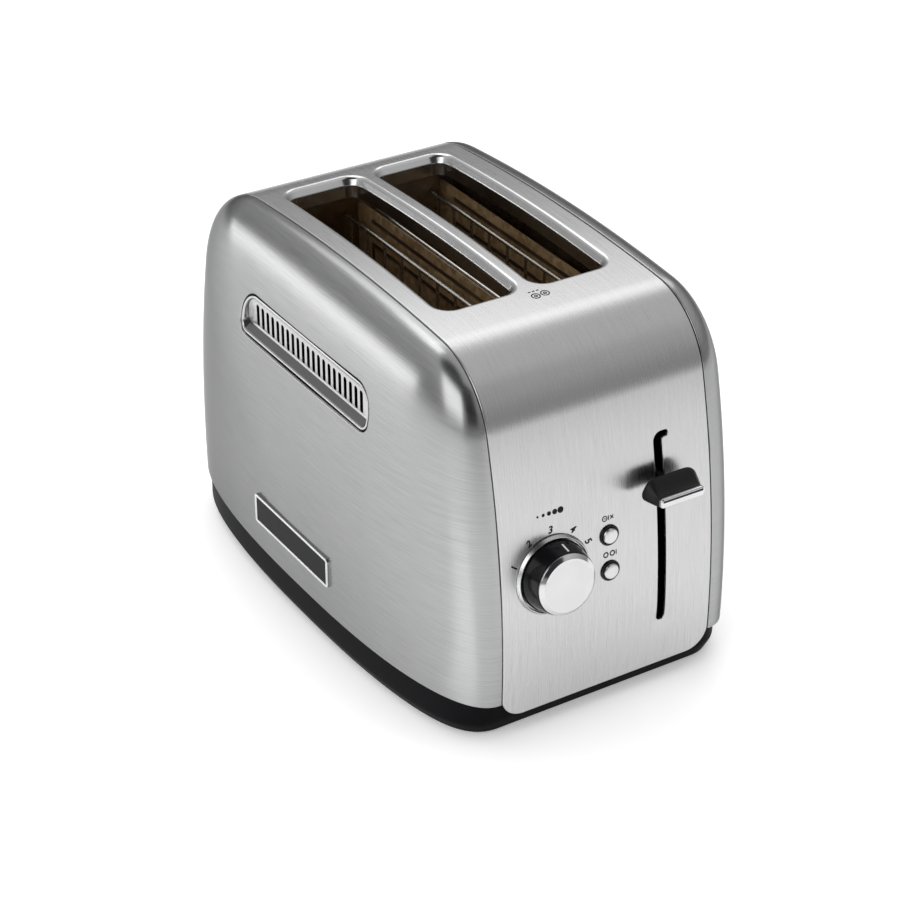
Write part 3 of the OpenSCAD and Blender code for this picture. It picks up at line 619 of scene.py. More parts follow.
def mica_board():
    """Pressed mica: glassy flakes in amber and grey layers."""
    color = (0.24, 0.155, 0.075)
    m = Material("mica", color, 0.35)
    flake = m.voronoi(m.scaled(m.coords, (500, 350, 350)), scale=1.0, output="Color")
    split = m.node("ShaderNodeSeparateColor")
    m.link(flake, split.inputs["Color"])
    cloud = m.noise(m.coords, scale=35.0, detail=5.0)
    tone = m.mixed(split.outputs[0], 0.5, cloud)
    m.set("Base Color", m.ramp(tone, (0.2, (0.16, 0.095, 0.045)), (0.5, color), (0.85, (0.34, 0.24, 0.13))))
    m.set("Roughness", m.to_range(split.outputs[1], 0.3, 0.45))
    m.set("Normal", m.bump(split.outputs[0], 0.3, 0.00004))
    return m.data


def copper_winding():
    """Enamelled wire wound in level turns."""
    color = (0.55, 0.2, 0.07)
    m = Material("copper_winding", color, 0.3, 0.8)
    wave = m.node("ShaderNodeTexWave", wave_type="BANDS", bands_direction="Z")
    wave.inputs["Scale"].default_value = 420.0
    wave.inputs["Distortion"].default_value = 0.6
    m.link(m.coords, wave.inputs["Vector"])
    m.set("Base Color", m.ramp(wave.outputs["Fac"], (0.1, tinted(color, 0.4)), (0.7, tinted(color, 1.2))))
    m.set("Normal", m.bump(wave.outputs["Fac"], 0.8, 0.0002))
    return m.data


def circuit_board():
    """Green solder mask over tracks, with bright pads."""
    color = (0.02, 0.14, 0.05)
    m = Material("circuit_board", color, 0.35)
    brick = m.node("ShaderNodeTexBrick")
    for key, value in (("Scale", 150.0), ("Mortar Size", 0.03), ("Brick Width", 0.9), ("Row Height", 0.35)):
        brick.inputs[key].default_value = value
    brick.inputs["Color1"].default_value = (0.02, 0.13, 0.05, 1)
    brick.inputs["Color2"].default_value = (0.03, 0.18, 0.07, 1)
    brick.inputs["Mortar"].default_value = (0.07, 0.3, 0.1, 1)
    swap = m.node("ShaderNodeMapping")
    swap.inputs["Rotation"].default_value = (math.radians(90), 0, 0)
    m.link(m.coords, swap.inputs["Vector"])
    m.link(swap.outputs["Vector"], brick.inputs["Vector"])
    m.set("Base Color", brick.outputs["Color"])
    m.set("Roughness", m.to_range(m.noise(m.coords, scale=90.0), 0.28, 0.45))
    m.set("Normal", m.bump(brick.outputs["Fac"], 0.4, 0.00003))
    return m.data


def resistance_ribbon():
    """Flat heating alloy, dark with a bronze heat tint."""
    color = (0.2, 0.13, 0.09)
    m = Material("resistance_ribbon", color, 0.45, 0.9)
    cloud = m.noise(m.scaled(m.coords, (300, 40, 300)), detail=3.0)
    m.set("Base Color", m.ramp(cloud, (0.3, (0.09, 0.07, 0.07)), (0.55, color), (0.8, (0.42, 0.28, 0.16))))
    m.set("Roughness", m.to_range(cloud, 0.35, 0.6))
    m.set("Normal", m.bump(cloud, 0.3, 0.00003))
    return m.data


FRONT_STEEL = brushed("brushed_wrap", (0.53, 0.53, 0.53), 0.28, depth=0.0000025)
# Painted shade: the side shells take a darker copy of the wrap's brushed steel, with less edge tint, so that
# they read darker than the front
SHADED_SIDE_STEEL = brushed("brushed_side_painted_shade", (0.37, 0.372, 0.372), 0.24, depth=0.000003, contrast=1.3, edge=0.42)
# Painted shade: the inner faces of the wrap and shells are near black, for the shade inside the casing
INNER_STEEL_PAINTED_SHADE = sheet_metal("inner_sheet_painted_shade", (0.06, 0.055, 0.05), 0.5)
LIP_STEEL = polished("lip_steel", (0.6, 0.6, 0.6), 0.17, 0.05)
VENT_STEEL = polished("vent_steel", (0.5, 0.5, 0.5), 0.2, 0.06)
# Painted shade: a darker copy of the vent steel, for the shaded strip of ledge under the louvres
PAINTED_SHADE_LEDGE_STEEL = polished("ledge_steel_painted_shade", (0.2, 0.2, 0.2), 0.22, 0.06)
CHROME = polished("chrome", (0.66, 0.66, 0.67), 0.1)
SATIN = polished("satin_chrome", (0.56, 0.56, 0.565), 0.24, 0.05)
CAP_METAL = polished("cap_metal", (0.66, 0.66, 0.665), 0.3, 0.03)


def black(name, color, roughness, specular, **settings):
    """A black plastic with its specular level."""
    return plastic(name, color, roughness, Specular_IOR_Level=specular, **settings)


BLACK = black("black_plastic", (0.006, 0.006, 0.007), 0.5, 0.04, pebble=0.00004, size=0.0006)
HOOD = black("hood_plastic", (0.008, 0.0078, 0.0075), 0.36, 0.22, pebble=0.00012, size=0.0005, vary=0.4)
GLOSS = black("gloss_black", (0.005, 0.005, 0.006), 0.1, 0.3, vary=0.3)
BADGE_BLACK = black("badge_black", (0.006, 0.006, 0.007), 0.3, 0.05, vary=0.3)
RUBBER = plastic("rubber", (0.02, 0.02, 0.02), 0.75, pebble=0.00008, size=0.0007)
INK = black("ink", (0.008, 0.008, 0.009), 0.55, 0.15, size=0.0003)
WHITE_INK = plastic("white_ink", (0.8, 0.8, 0.78), 0.45, size=0.0003, vary=0.05)

SLOT_FINISH = {
    "brushed_steel": SATIN,
    "polished_steel": CHROME,
    "black_plastic": BLACK,
    "gloss_black": GLOSS,
    "rubber": RUBBER,
    "zinc_sheet": sheet_metal("zinc_sheet", (0.5, 0.46, 0.4), 0.33, heat=(0.3, 0.22, 0.14)),
    "reflector_steel": sheet_metal("reflector_steel", (0.55, 0.48, 0.4), 0.28, heat=(0.34, 0.22, 0.13)),
    "wire_steel": sheet_metal("wire_steel", (0.66, 0.64, 0.6), 0.25, heat=(0.4, 0.34, 0.28)),
    "mica": mica_board(),
    "resistance_ribbon": resistance_ribbon(),
    "magnet_iron": sheet_metal("magnet_iron", (0.3, 0.3, 0.31), 0.45),
    "copper_winding": copper_winding(),
    "circuit_board": circuit_board(),
    "white_plastic": plastic("white_plastic", (0.75, 0.74, 0.7), 0.42, pebble=0.00003),
    "blue_plastic": plastic("blue_plastic", (0.03, 0.09, 0.3), 0.38, pebble=0.00003),
}


def finish_cad_nodes():
    """Gives every CAD node the finish of its slot in the record."""
    for part in frame["record"]["subparts"]:
        mesh = frame["nodes"][part["node"]].data
        mesh.materials.clear()
        mesh.materials.append(SLOT_FINISH[part["material_slot"]])


finish_cad_nodes()

# ---- Wrap ------------------------------------------------------------------------

EDGE_R = 0.8
SLOT_EDGE_R = 0.4
SHEET_T = 0.7
HOOK_W = 3.0
HOOK_L = 4.5
LEVER_R = 2.35
PANEL_CORNER_R = 12.0
SHAFT_HOLE_R = 4.5
BUTTON_HOLE_R = 4.6
STEP = 0.05  # half the step of a numeric slope


def slopes(height, u, v):
    """Slopes of a height over (u, v)."""
    du = (height(u + STEP, v) - height(u - STEP, v)) / (2 * STEP)
    return du, (height(u, v + STEP) - height(u, v - STEP)) / (2 * STEP)


def dish(x, s):
    """Depth of the pressed dimple round the lower end of the lever slot."""
    r2 = (x - LEVER_X) ** 2 + (s - front_s(LEVER_SLOT[0] + 1.0)) ** 2
    return 0.7 * np.exp(-r2 / 4.2**2)


def on_wrap(x, s, depth=0.0):
    """Point and normal on the wrap at sideways place x and distance s from the crown, under its face."""
    x, s = np.broadcast_arrays(np.asarray(x, float), np.asarray(s, float))
    y, z, ny, nz = profile(s)
    d = dish(x, s) + depth
    dx, ds = slopes(dish, x, s)
    points = np.stack([x, y - d * ny, z - d * nz], axis=-1)
    normals = np.stack([dx, ny + ds * (-nz), nz + ds * ny], axis=-1)
    return points, unit(normals)


def roll(radius, start, end, steps):
    """Stations (inward, down, turn of the normal) of a roll from one turn to another."""
    turns = [start + (end - start) * k / steps for k in range(steps + 1)]
    return [
        (radius * (math.sin(a) - math.sin(start)), radius * (math.cos(start) - math.cos(a)), a)
        for a in turns
    ]


def rolled_edge(radius, drop, steps):
    """Stations of an edge that rolls straight down."""
    return roll(radius, 0, math.pi / 2, steps) + [(radius, radius + drop, math.pi / 2)]


def sloped_lip():
    """Stations of a bread slot's lip: a roll, a slope, and a turn into the slot."""
    out = roll(LIP_R, 0, LIP_SLOPE, 6)
    across, down = out[-1][0] + LIP_RUN, out[-1][1] + LIP_RUN * math.tan(LIP_SLOPE)
    turn = roll(LIP_TURN_R, LIP_SLOPE, math.pi / 2, 5)
    out += [(across + inward, down + drop, a) for inward, drop, a in turn]
    across, down, a = out[-1]
    return out + [(across, down + LIP_DROP * k / 3, a) for k in (1, 2, 3)]


def wrap_roll(surface, loop, away, stations):
    """Turns the sheet over along a loop, through stations off the sheet and down from its face."""
    rows_p, rows_n, rows_g = [], [], []
    for across, down, a in stations:
        x = loop[:, 0] + away[:, 0] * across
        s = loop[:, 1] + away[:, 1] * across
        p, n = on_wrap(x, s, down)
        _, _, ny, nz = profile(s)
        t = np.stack([away[:, 0], away[:, 1] * -nz, away[:, 1] * ny], axis=1)
        rows_p.append(p)
        rows_n.append(unit(n) * math.cos(a) + t * math.sin(a))
        rows_g.append(np.stack([x, s], axis=1) + away * down)
    surface.add(
        np.concatenate(rows_p),
        np.concatenate(rows_n),
        grid_faces(len(stations), len(loop), closed=True),
        np.concatenate(rows_g),
    )


def arc(x, y, r, start, end, steps):
    """Points of an arc, its angles in right angles from +x."""
    turns = [math.pi / 2 * (start + (end - start) * k / steps) for k in range(steps + 1)]
    return [(x + r * math.cos(a), y + r * math.sin(a)) for a in turns]


def lever_loop():
    """Outline of the lever slot in (x, s), with the hook at its top."""
    z0, z1 = LEVER_SLOT
    turn, inner, half = HOOK_W + 1.5, 1.3, HOOK_W / 2
    points = arc(0, z0 + LEVER_R, LEVER_R, 2, 4, 12)
    points += arc(LEVER_R + inner, z1 - HOOK_W - inner, inner, 2, 1, 5)
    points += arc(HOOK_L, z1 - half, half, -1, 1, 8)
    points += arc(turn - LEVER_R, z1 - turn, turn, 1, 2, 10)
    loop = even_edges(np.array(points), 2.5)
    return np.stack([loop[:, 0] + LEVER_X, front_s(loop[:, 1])], axis=1)


def circle_loop(x, s, r, n=40):
    a = np.linspace(0, 2 * math.pi, n, endpoint=False)
    return np.stack([x + r * np.cos(a), s + r * np.sin(a)], axis=1)


def away_from_sheet(loop, is_hole):
    """Unit vectors in (x, s) that point off the sheet at a loop."""
    n = loop_normals(loop)
    area = np.sum(loop[:, 0] * np.roll(loop[:, 1], -1) - np.roll(loop[:, 0], -1) * loop[:, 1])
    outward = n if area > 0 else -n
    return -outward if is_hole else outward


def build_wrap():
    surface = Surface()
    corner = PANEL_CORNER_R - EDGE_R
    outline = round_rect(2 * (HALF_W - EDGE_R), 2 * (S_END - EDGE_R), [corner] * 4, step=3.2, arc=10)
    wrap_roll(surface, outline, away_from_sheet(outline, False), rolled_edge(EDGE_R, 2.6, 5))
    holes = []
    size = np.array(SLOT_SIZE) + 2 * LIP_OUT
    for side in (-1, 1):
        loop = round_rect(*size, [SLOT_R + LIP_OUT] * 4, step=3.0, arc=14)
        loop = loop + np.array([side * SLOT_X, -SLOT_Y])
        holes.append(loop)
        wrap_roll(surface, loop, away_from_sheet(loop, True), sloped_lip())
    slot = lever_loop()
    start = slot - away_from_sheet(slot, True) * SLOT_EDGE_R
    holes.append(start)
    wrap_roll(surface, start, away_from_sheet(start, True), rolled_edge(SLOT_EDGE_R, 1.0, 4))
    holes.append(circle_loop(DIAL_X, front_s(DIAL_Z), SHAFT_HOLE_R))
    holes += [circle_loop(BUTTON_X, front_s(z), BUTTON_HOLE_R) for z in BUTTON_Z]
    xs = np.linspace(-HALF_W, HALF_W, 33)
    ss = np.linspace(-S_END, S_END, 190)
    flat, tris = fill(outline, holes, xs, ss)
    points, normals = on_wrap(flat[:, 0], flat[:, 1])
    surface.add(points, normals, tris, flat)
    mesh = surface.build("wrap_sheet", SHEET_T)
    lip_w, lip_l = size / 2 - 0.1
    for face in mesh.polygons:
        x, y, z = body_point(face.center)
        in_lip = z > 150 and abs(abs(x) - SLOT_X) < lip_w and abs(y - SLOT_Y) < lip_l
        if in_lip and face.material_index == 0 and face.normal.z < 0.985:
            face.material_index = 2
    piece("wrap_sheet", mesh, (FRONT_STEEL, INNER_STEEL_PAINTED_SHADE, LIP_STEEL), "casing", "brushed_steel", "wrap_panel")


build_wrap()

# ---- Side shells -----------------------------------------------------------------

SIDE_POWER = 2.5
TOP_POWER = 3.2
BOW_POWER = 2.3
RIM_G = 0.84


def end_angle(centre, radius, angle):
    """Direction, from the middle of the widest level, of a point on one arc of the outline."""
    z = centre[1] + radius * math.sin(angle) - WIDEST_Z
    return math.atan2(z, centre[0] + radius * math.cos(angle))


FACE_ANGLE = end_angle(FACE_C, FACE_R, FACE_END)
TOP_ANGLE = end_angle(TOP_C, TOP_R, TOP_END)


def bow(g, rise):
    power = SIDE_POWER + (TOP_POWER - SIDE_POWER) * rise
    return SHELL_BOW * np.power(np.clip(1 - np.power(g, power), 0, 1), 1 / BOW_POWER)


def shell_depth(y, z):
    """How far out the side shell stands at (y, z)."""
    y, z = np.abs(np.asarray(y, float)), np.asarray(z, float)
    up = np.maximum(z - WIDEST_Z, 0)
    angle = np.arctan2(up, y)
    c, s = np.cos(angle), np.sin(angle)

    def reach(centre, radius):
        cy, cz = centre[0], centre[1] - WIDEST_Z
        along = cy * c + cz * s
        return along + np.sqrt(np.maximum(along**2 - cy**2 - cz**2 + radius**2, 0))

    edge = np.where(angle > TOP_ANGLE, reach(TOP_C, TOP_R), reach(SHOULDER_C, SHOULDER_R))
    edge = np.where(angle < FACE_ANGLE, reach(FACE_C, FACE_R), edge)
    low_edge = FACE_C[0] + np.sqrt(FACE_R**2 - (z - WIDEST_Z) ** 2)
    g = np.where(z > WIDEST_Z, np.hypot(y, up) / edge, y / low_edge)
    return SHELL_X + bow(np.minimum(g, 1.0), np.where(z > WIDEST_Z, s**2, 0.0))


def on_shell(y, z, depth=0.0):
    """Point and normal of the right shell at (y, z), depth below its outer face."""
    y, z = np.asarray(y, float), np.asarray(z, float)
    hy, hz = slopes(shell_depth, y, z)
    n = unit(np.stack([np.ones_like(hy), -hy, -hz], axis=-1))
    p = np.stack([shell_depth(y, z), y, z], axis=-1)
    return p - depth * n, n


def shell_grain(points):
    """Grain coordinates of the side shell: the brushing runs level, and over the top along the seam."""
    x, y, z = points[..., 0], points[..., 1], points[..., 2]
    t = np.clip((z - 120) / 55, 0, 1)
    return np.stack([z + (SHELL_X + SHELL_BOW - x) * t * t * (3 - 2 * t), y], axis=-1)


VENT_Y = -3.0
VENT_Z = 147.5
VENT_SIZE = (123.0, 22.5)
VENT_RADII = (13.0, 13.0, 6.5, 6.5)
VENT_EDGE = 0.9
S_SHELL_END = front_s(SHELL_BOTTOM)


def vent_loop(grow):
    radii = [r + grow for r in VENT_RADII]
    loop = round_rect(VENT_SIZE[0] + 2 * grow, VENT_SIZE[1] + 2 * grow, radii, step=2.5, arc=10)
    return loop + np.array([VENT_Y, VENT_Z])


def shell_mesh(name, side):
    surface = Surface()
    s = np.linspace(-S_SHELL_END, S_SHELL_END, 221)
    py, pz, _, _ = profile(s)
    rise = np.where(pz > WIDEST_Z, np.sin(np.arctan2(pz - WIDEST_Z, np.abs(py))) ** 2, 0.0)
    rows = []
    ws = np.linspace(0.022, 1.0, 30)
    for w in ws:
        g = 1 - (1 - RIM_G) * w**BOW_POWER
        z = np.where(pz > WIDEST_Z, WIDEST_Z + (pz - WIDEST_Z) * g, pz)
        rows.append(np.stack([SHELL_X + bow(g, rise), py * g, z], axis=1))
    rows = np.array(rows)
    normals = unit(np.cross(np.gradient(rows, axis=1), np.gradient(rows, ws, axis=0)))
    normals *= np.sign(normals[..., 0:1].mean())
    grain = shell_grain(rows)
    surface.add(rows, normals, grid_faces(len(ws), len(s)), grain)

    # The edge at the seam rolls in
    first, out, inward = rows[0], normals[0], np.array([-1.0, 0, 0])
    edge, edge_n = [], []
    for across, down, a in roll(0.75 * EDGE_R, 0, math.pi / 2, 6):
        edge.append(first - out * down + inward * across)
        edge_n.append(out * math.cos(a) + inward * math.sin(a))
    edge.append(edge[-1] - out * 2.4)
    edge_n.append(edge_n[-1])
    edge_grain = np.tile(grain[0], (len(edge), 1))
    surface.add(np.array(edge), np.array(edge_n), grid_faces(len(edge), len(s)), edge_grain)

    # The inner field, with the vent's opening
    last = rows[-1]
    ys = np.linspace(last[-1, 1], last[0, 1], 81)[1:-1]
    bottom = np.stack([ys, np.full_like(ys, SHELL_BOTTOM)], axis=1)
    opening = vent_loop(VENT_EDGE)
    gy, gz = np.linspace(-118, 118, 79), np.linspace(SHELL_BOTTOM, 170, 51)
    flat, tris = fill(np.concatenate([last[:, 1:3], bottom]), [opening], gy, gz)
    points, field_n = on_shell(flat[:, 0], flat[:, 1])
    match = {tuple(np.round(p[1:3], 6)): p for p in last}
    for i, q in enumerate(flat):
        points[i] = match.get(tuple(np.round(q, 6)), points[i])
    surface.add(points, field_n, tris, shell_grain(points))

    # The opening's edge rolls in
    into = away_from_sheet(opening, True)
    edge, edge_n = [], []
    for across, down, a in rolled_edge(VENT_EDGE, 1.6, 6):
        q = opening + into * across
        p, n = on_shell(q[:, 0], q[:, 1], down)
        t = np.stack([np.zeros(len(q)), into[:, 0], into[:, 1]], axis=1)
        t = unit(t - n * np.sum(t * n, axis=1, keepdims=True))
        edge.append(p)
        edge_n.append(n * math.cos(a) + t * math.sin(a))
    edge, edge_n = np.array(edge), np.array(edge_n)
    surface.add(edge, edge_n, grid_faces(len(edge), len(opening), closed=True), shell_grain(edge))
    return surface.build(name, SHEET_T, side)


for label, sign in (("left", -1), ("right", 1)):
    node = f"side_shell_{label}"
    piece(f"shell_{label}", shell_mesh(node, sign), (SHADED_SIDE_STEEL, INNER_STEEL_PAINTED_SHADE), "casing", "brushed_steel", node)

# ---- Vents and badge -------------------------------------------------------------

VENT_FLOOR_X = 81.0
VENT_COUNT = 21
VENT_PITCH = 4.98
VENT_SLOT = (2.8, 11.4)
VENT_SLOT_Z = 147.4
VENT_GAP = 0.75
VENT_T = 0.9
LEDGE_X = 84.6  # outer edge of the painted shade on the ledge under the louvres, where the vent steel is darker


def at_x(loop, x):
    """A loop in (y, z) at one x."""
    return np.stack([np.full(len(loop), x), loop[:, 0], loop[:, 1]], axis=1)


def vent_ring(inset, low_inset, radii, depth=None, x=None):
    """A ring of the vent tray, inset from the opening, at a depth below the shell or at one x."""
    h = VENT_SIZE[1] - inset - low_inset
    loop = round_rect(VENT_SIZE[0] - 2 * inset, h, radii, step=1000.0, arc=12)
    loop = loop + np.array([VENT_Y, VENT_Z + (low_inset - inset) / 2])
    return at_x(loop, x) if depth is None else on_shell(loop[:, 0], loop[:, 1], depth)[0]


def vent_rings():
    """Rings from the tray's outer edge, over its rim and down its walls to the floor."""
    top, low = VENT_RADII[0] - VENT_GAP, VENT_RADII[2] - VENT_GAP
    rings = []
    for inset, tighter, depth in (
        (0.0, 0.0, 2.2),
        (0.0, 0.0, 0.75),
        (0.12, 0.1, 0.5),
        (0.4, 0.4, 0.38),
        (0.85, 0.8, 0.4),
        (1.15, 1.1, 0.6),
        (1.35, 1.3, 0.95),
    ):
        radii = [top - tighter] * 2 + [low - tighter] * 2
        rings.append(vent_ring(VENT_GAP + inset, VENT_GAP + inset, radii, depth=depth))
    wall = rings[-1]
    floor = vent_ring(2.4, 4.4, [top - 1.8] * 2 + [3.2] * 2, x=VENT_FLOOR_X)
    rings += [wall + (floor - wall) * t for t in (0.45, 0.8, 0.93)]
    rings.append(vent_ring(2.6, 4.65, [top - 2.0] * 2 + [3.0] * 2, x=VENT_FLOOR_X + 0.2))
    rings.append(vent_ring(2.9, 5.0, [top - 2.3] * 2 + [2.7] * 2, x=VENT_FLOOR_X))
    return rings


def build_vent(label, sign):
    rings = vent_rings()
    cols = len(rings[0])
    louvre = round_rect(*VENT_SLOT, [0.45 * VENT_SLOT[0]] * 4, step=2.6, arc=4)
    places = VENT_Y + (np.arange(VENT_COUNT) - (VENT_COUNT - 1) / 2) * VENT_PITCH
    louvres = [louvre + np.array([y, VENT_SLOT_Z]) for y in places]
    ys, zs = np.linspace(VENT_Y - 60, VENT_Y + 60, 25), np.linspace(138, 158, 5)
    flat, tris = fill(rings[-1][:, 1:3], louvres, ys, zs)
    points, faces = [], []

    def add(more_points, more_faces):
        faces.extend(shifted(more_faces, len(points)))
        points.extend(more_points)

    front, back = VENT_FLOOR_X, VENT_FLOOR_X - VENT_T
    add(np.concatenate(rings), grid_faces(len(rings), cols, closed=True))
    add(at_x(flat, front), tris)
    add(at_x(flat, back), [t[::-1] for t in tris])
    for loop in louvres:
        add([*at_x(loop, front), *at_x(loop, back)], grid_faces(2, len(loop), closed=True))
    # The tray's back follows its walls, one thickness behind
    add([*rings[0], *(rings[-1] - np.array([VENT_T, 0, 0]))], grid_faces(2, cols, closed=True))
    mesh = solid_mesh(f"vent_{label}", np.array(points) * np.array([sign, 1, 1]), faces, crease=40.0)
    # Upward faces of the lower ledge, out to LEDGE_X, take the darker steel: painted shade
    ledge_top = VENT_Z - VENT_SIZE[1] / 2 + 5.2
    for face in mesh.polygons:
        x, _, z = body_point(face.center)
        ledge_painted_shade = z < ledge_top and face.normal.z > 0.5 and VENT_FLOOR_X + 0.3 < abs(x) < LEDGE_X
        face.material_index = int(ledge_painted_shade)
    steels = (VENT_STEEL, PAINTED_SHADE_LEDGE_STEEL)
    piece(mesh.name, mesh, steels, "casing", "polished_steel", f"vent_grille_{label}")


for label, sign in (("left", -1), ("right", 1)):
    build_vent(label, sign)


def build_badge():
    low, high = span("badge_frame")
    w, h = (high - low)[1:]
    front, back = low[0], high[0]

    def slab(*levels):
        """Rings of a plate that faces -X, inset and at x as levels say."""
        rings = []
        for inset, x in levels:
            r = max(1.8 - inset, 0.4)
            loop = round_rect(w - 2 * inset, h - 2 * inset, [r] * 4, step=1000.0, arc=8)
            rings.append(at_x(loop + (low + high)[1:] / 2, x))
        return rings

    edge = [(0, back), (0, front + 0.5), (0.06, front + 0.25), (0.25, front + 0.06), (0.5, front)]
    edge += [(1.1, front), (1.35, front + 0.06), (1.52, front + 0.22), (1.6, front + 0.45)]
    rings = slab(*edge, (1.6, front + 1.0), (1.6, back))
    rim = loft(rings + [rings[0]], caps=False)
    solid("badge_rim", rim, CHROME, "casing", "polished_steel", "badge_frame")
    plate = [(1.65, back - 0.2), (1.65, front + 0.62), (1.75, front + 0.5), (2.0, front + 0.46)]
    face = loft(slab(*plate, (2.6, front + 0.46)))
    solid("badge_face", face, BADGE_BLACK, "casing", "gloss_black", "badge_plate")


build_badge()

# ---- Base ------------------------------------------------------------------------

BASE_END = 132.0
BASE_GAP = 0.6
CORNER_POWER = 8
FEET = [(x, y) for x in (-52.0, 52.0) for y in (-79.0, 96.0)]
FOOT_SCREW_R = 3.4
BASE_CREASE = 35.0


def plan_ring(d, y_end, z, steps=120):
    """Plan outline of the base at height z, inset by d, with its ends at y_end."""
    a = np.linspace(-1, 1, steps + 1)
    y = y_end * np.sin(a * math.pi / 2)
    g = np.abs(y) / (HALF_L - (HALF_L - y_end) * (np.abs(y) / y_end) ** CORNER_POWER)
    x = SHELL_X - d + bow(np.minimum(g, 1.0), 0.0)
    right = np.stack([x, y, np.full_like(x, z)], axis=1)
    left = right[::-1] * np.array([-1, 1, 1])
    return np.concatenate([right, left])


def box_points(low, high):
    x0, y0, z0 = low
    x1, y1, z1 = high
    loop = [(x0, y0), (x1, y0), (x1, y1), (x0, y1)]
    return loft([[(x, y, z0) for x, y in loop], [(x, y, z1) for x, y in loop]])


def cylinder_points(x, y, z0, z1, r, n=32):
    a = np.linspace(0, 2 * math.pi, n, endpoint=False)
    ring = np.stack([x + r * np.cos(a), y + r * np.sin(a), np.zeros(n)], axis=1)
    return loft([ring + np.array([0, 0, z0]), ring + np.array([0, 0, z1])])


def cut(mesh, cutters):
    """The mesh with solids, each (points, faces), taken out of it."""
    host = bpy.data.objects.new("host", mesh)
    bpy.context.scene.collection.objects.link(host)
    tools = []
    for i, shape in enumerate(cutters):
        tool = bpy.data.objects.new(f"cutter_{i}", solid_mesh(f"cutter_{i}", *shape))
        bpy.context.scene.collection.objects.link(tool)
        modifier = host.modifiers.new(f"cut_{i}", "BOOLEAN")
        modifier.operation = "DIFFERENCE"
        modifier.solver = "MANIFOLD"
        modifier.object = tool
        tools.append(tool)
    bpy.context.view_layer.update()
    result = bpy.data.meshes.new_from_object(host.evaluated_get(bpy.context.evaluated_depsgraph_get()))
    result.name = mesh.name
    result.materials.clear()
    for obj in [host, *tools]:
        bpy.data.objects.remove(obj)
    return result


def build_base():
    foot, top = span("base_tray")[0][2] - 0.8, SHELL_BOTTOM - 0.3
    tuck, tuck_z = 3.2, 7.0
    lap, wall, floor_z = 1.6, 2.8, 4.2
    outer = [(tuck + 6.0, foot), (tuck, foot), (0.0, tuck_z), (0.0, top), (lap, top), (lap, top + 3.0)]
    outer += [(wall, top + 3.0), (wall, floor_z)]
    rings = []
    for d, z in fillet(outer, [0, 1.2, 6.0, 0.7, 0.2, 0.3, 0.3, 0], steps=7):
        end = BASE_END - min(d, tuck) * 0.6 - max(d - tuck, 0)
        rings.append(plan_ring(BASE_GAP + d, end, z))
    rings.append(plan_ring(BASE_GAP + tuck + 6.0, BASE_END - tuck * 0.6 - 6.0, floor_z))
    tray_low, tray_high = span("crumb_tray")
    gap = 0.4
    low = (tray_low[0] - gap, BASE_END - 12, tray_low[2] - gap)
    cutters = [box_points(low, (tray_high[0] + gap, BASE_END + 5, tray_high[2] + gap))]
    cutters += [cylinder_points(x, y, foot - 1, foot + 1.2, FOOT_SCREW_R) for x, y in FEET]
    mesh = cut(solid_mesh("base_shell", *loft(rings), BASE_CREASE), cutters)
    mesh.set_sharp_from_angle(angle=math.radians(BASE_CREASE))
    piece("base_shell", mesh, BLACK, "casing", "black_plastic", "base_tray")


build_base()

# ---- Dial ------------------------------------------------------------------------


CAP_CHAMFER_R = 13.2
TURNED = 30.0  # crease of the turned parts, degrees


def build_dial():
    def part(name, outline, radii, steps, *rest):
        """A turned part of the dial, from its outline and the radii of its corners."""
        shape = turned(fillet(outline, radii, steps), DIAL_X, DIAL_Z)
        return solid(name, shape, *rest, crease=TURNED)

    ring = [(18.3, 0.05), (19.8, 0.05), (19.8, 0.5), (18.9, 2.0), (18.6, 2.0), (18.3, 1.6), (18.3, 0.3)]
    radii = [0, 0, 0.3, 0.25, 0.15, 0.1, 0]
    part("dial_bezel", ring, radii, 5, SATIN, "casing", "polished_steel", "dial_ring")
    body = [(0, 0.8), (17.3, 0.8), (17.7, 1.2), (17.7, 1.8), (15.75, 10.7), (15.45, 11.0), (0, 11.0)]
    radii = [0, 0.3, 0.3, 0.6, 0.3, 0.2, 0]
    part("dial_body", body, radii, 4, GLOSS, "shade_knob", "gloss_black", "knob_body")
    cap = [(0, 11.0), (14.9, 11.0), (15.2, 11.25), (15.2, 12.1), (13.3, 13.5), (12.0, 13.62)]
    cap += [(6.0, 13.78), (0, 13.8)]
    radii = [0, 0.2, 0.2, 0.35, 0.35, 3.0, 3.0, 0]
    metals = (CAP_METAL, CHROME)
    mesh = part("dial_cap", cap, radii, 6, metals, "shade_knob", "polished_steel", "knob_cap").data
    middle = on_face(DIAL_X, DIAL_Z, [(0.0, 0.0, 0.0)])[0]
    for face in mesh.polygons:
        local = body_point(face.center) - middle
        face.material_index = int(np.hypot(local[0], local[2]) > CAP_CHAMFER_R)


build_dial()


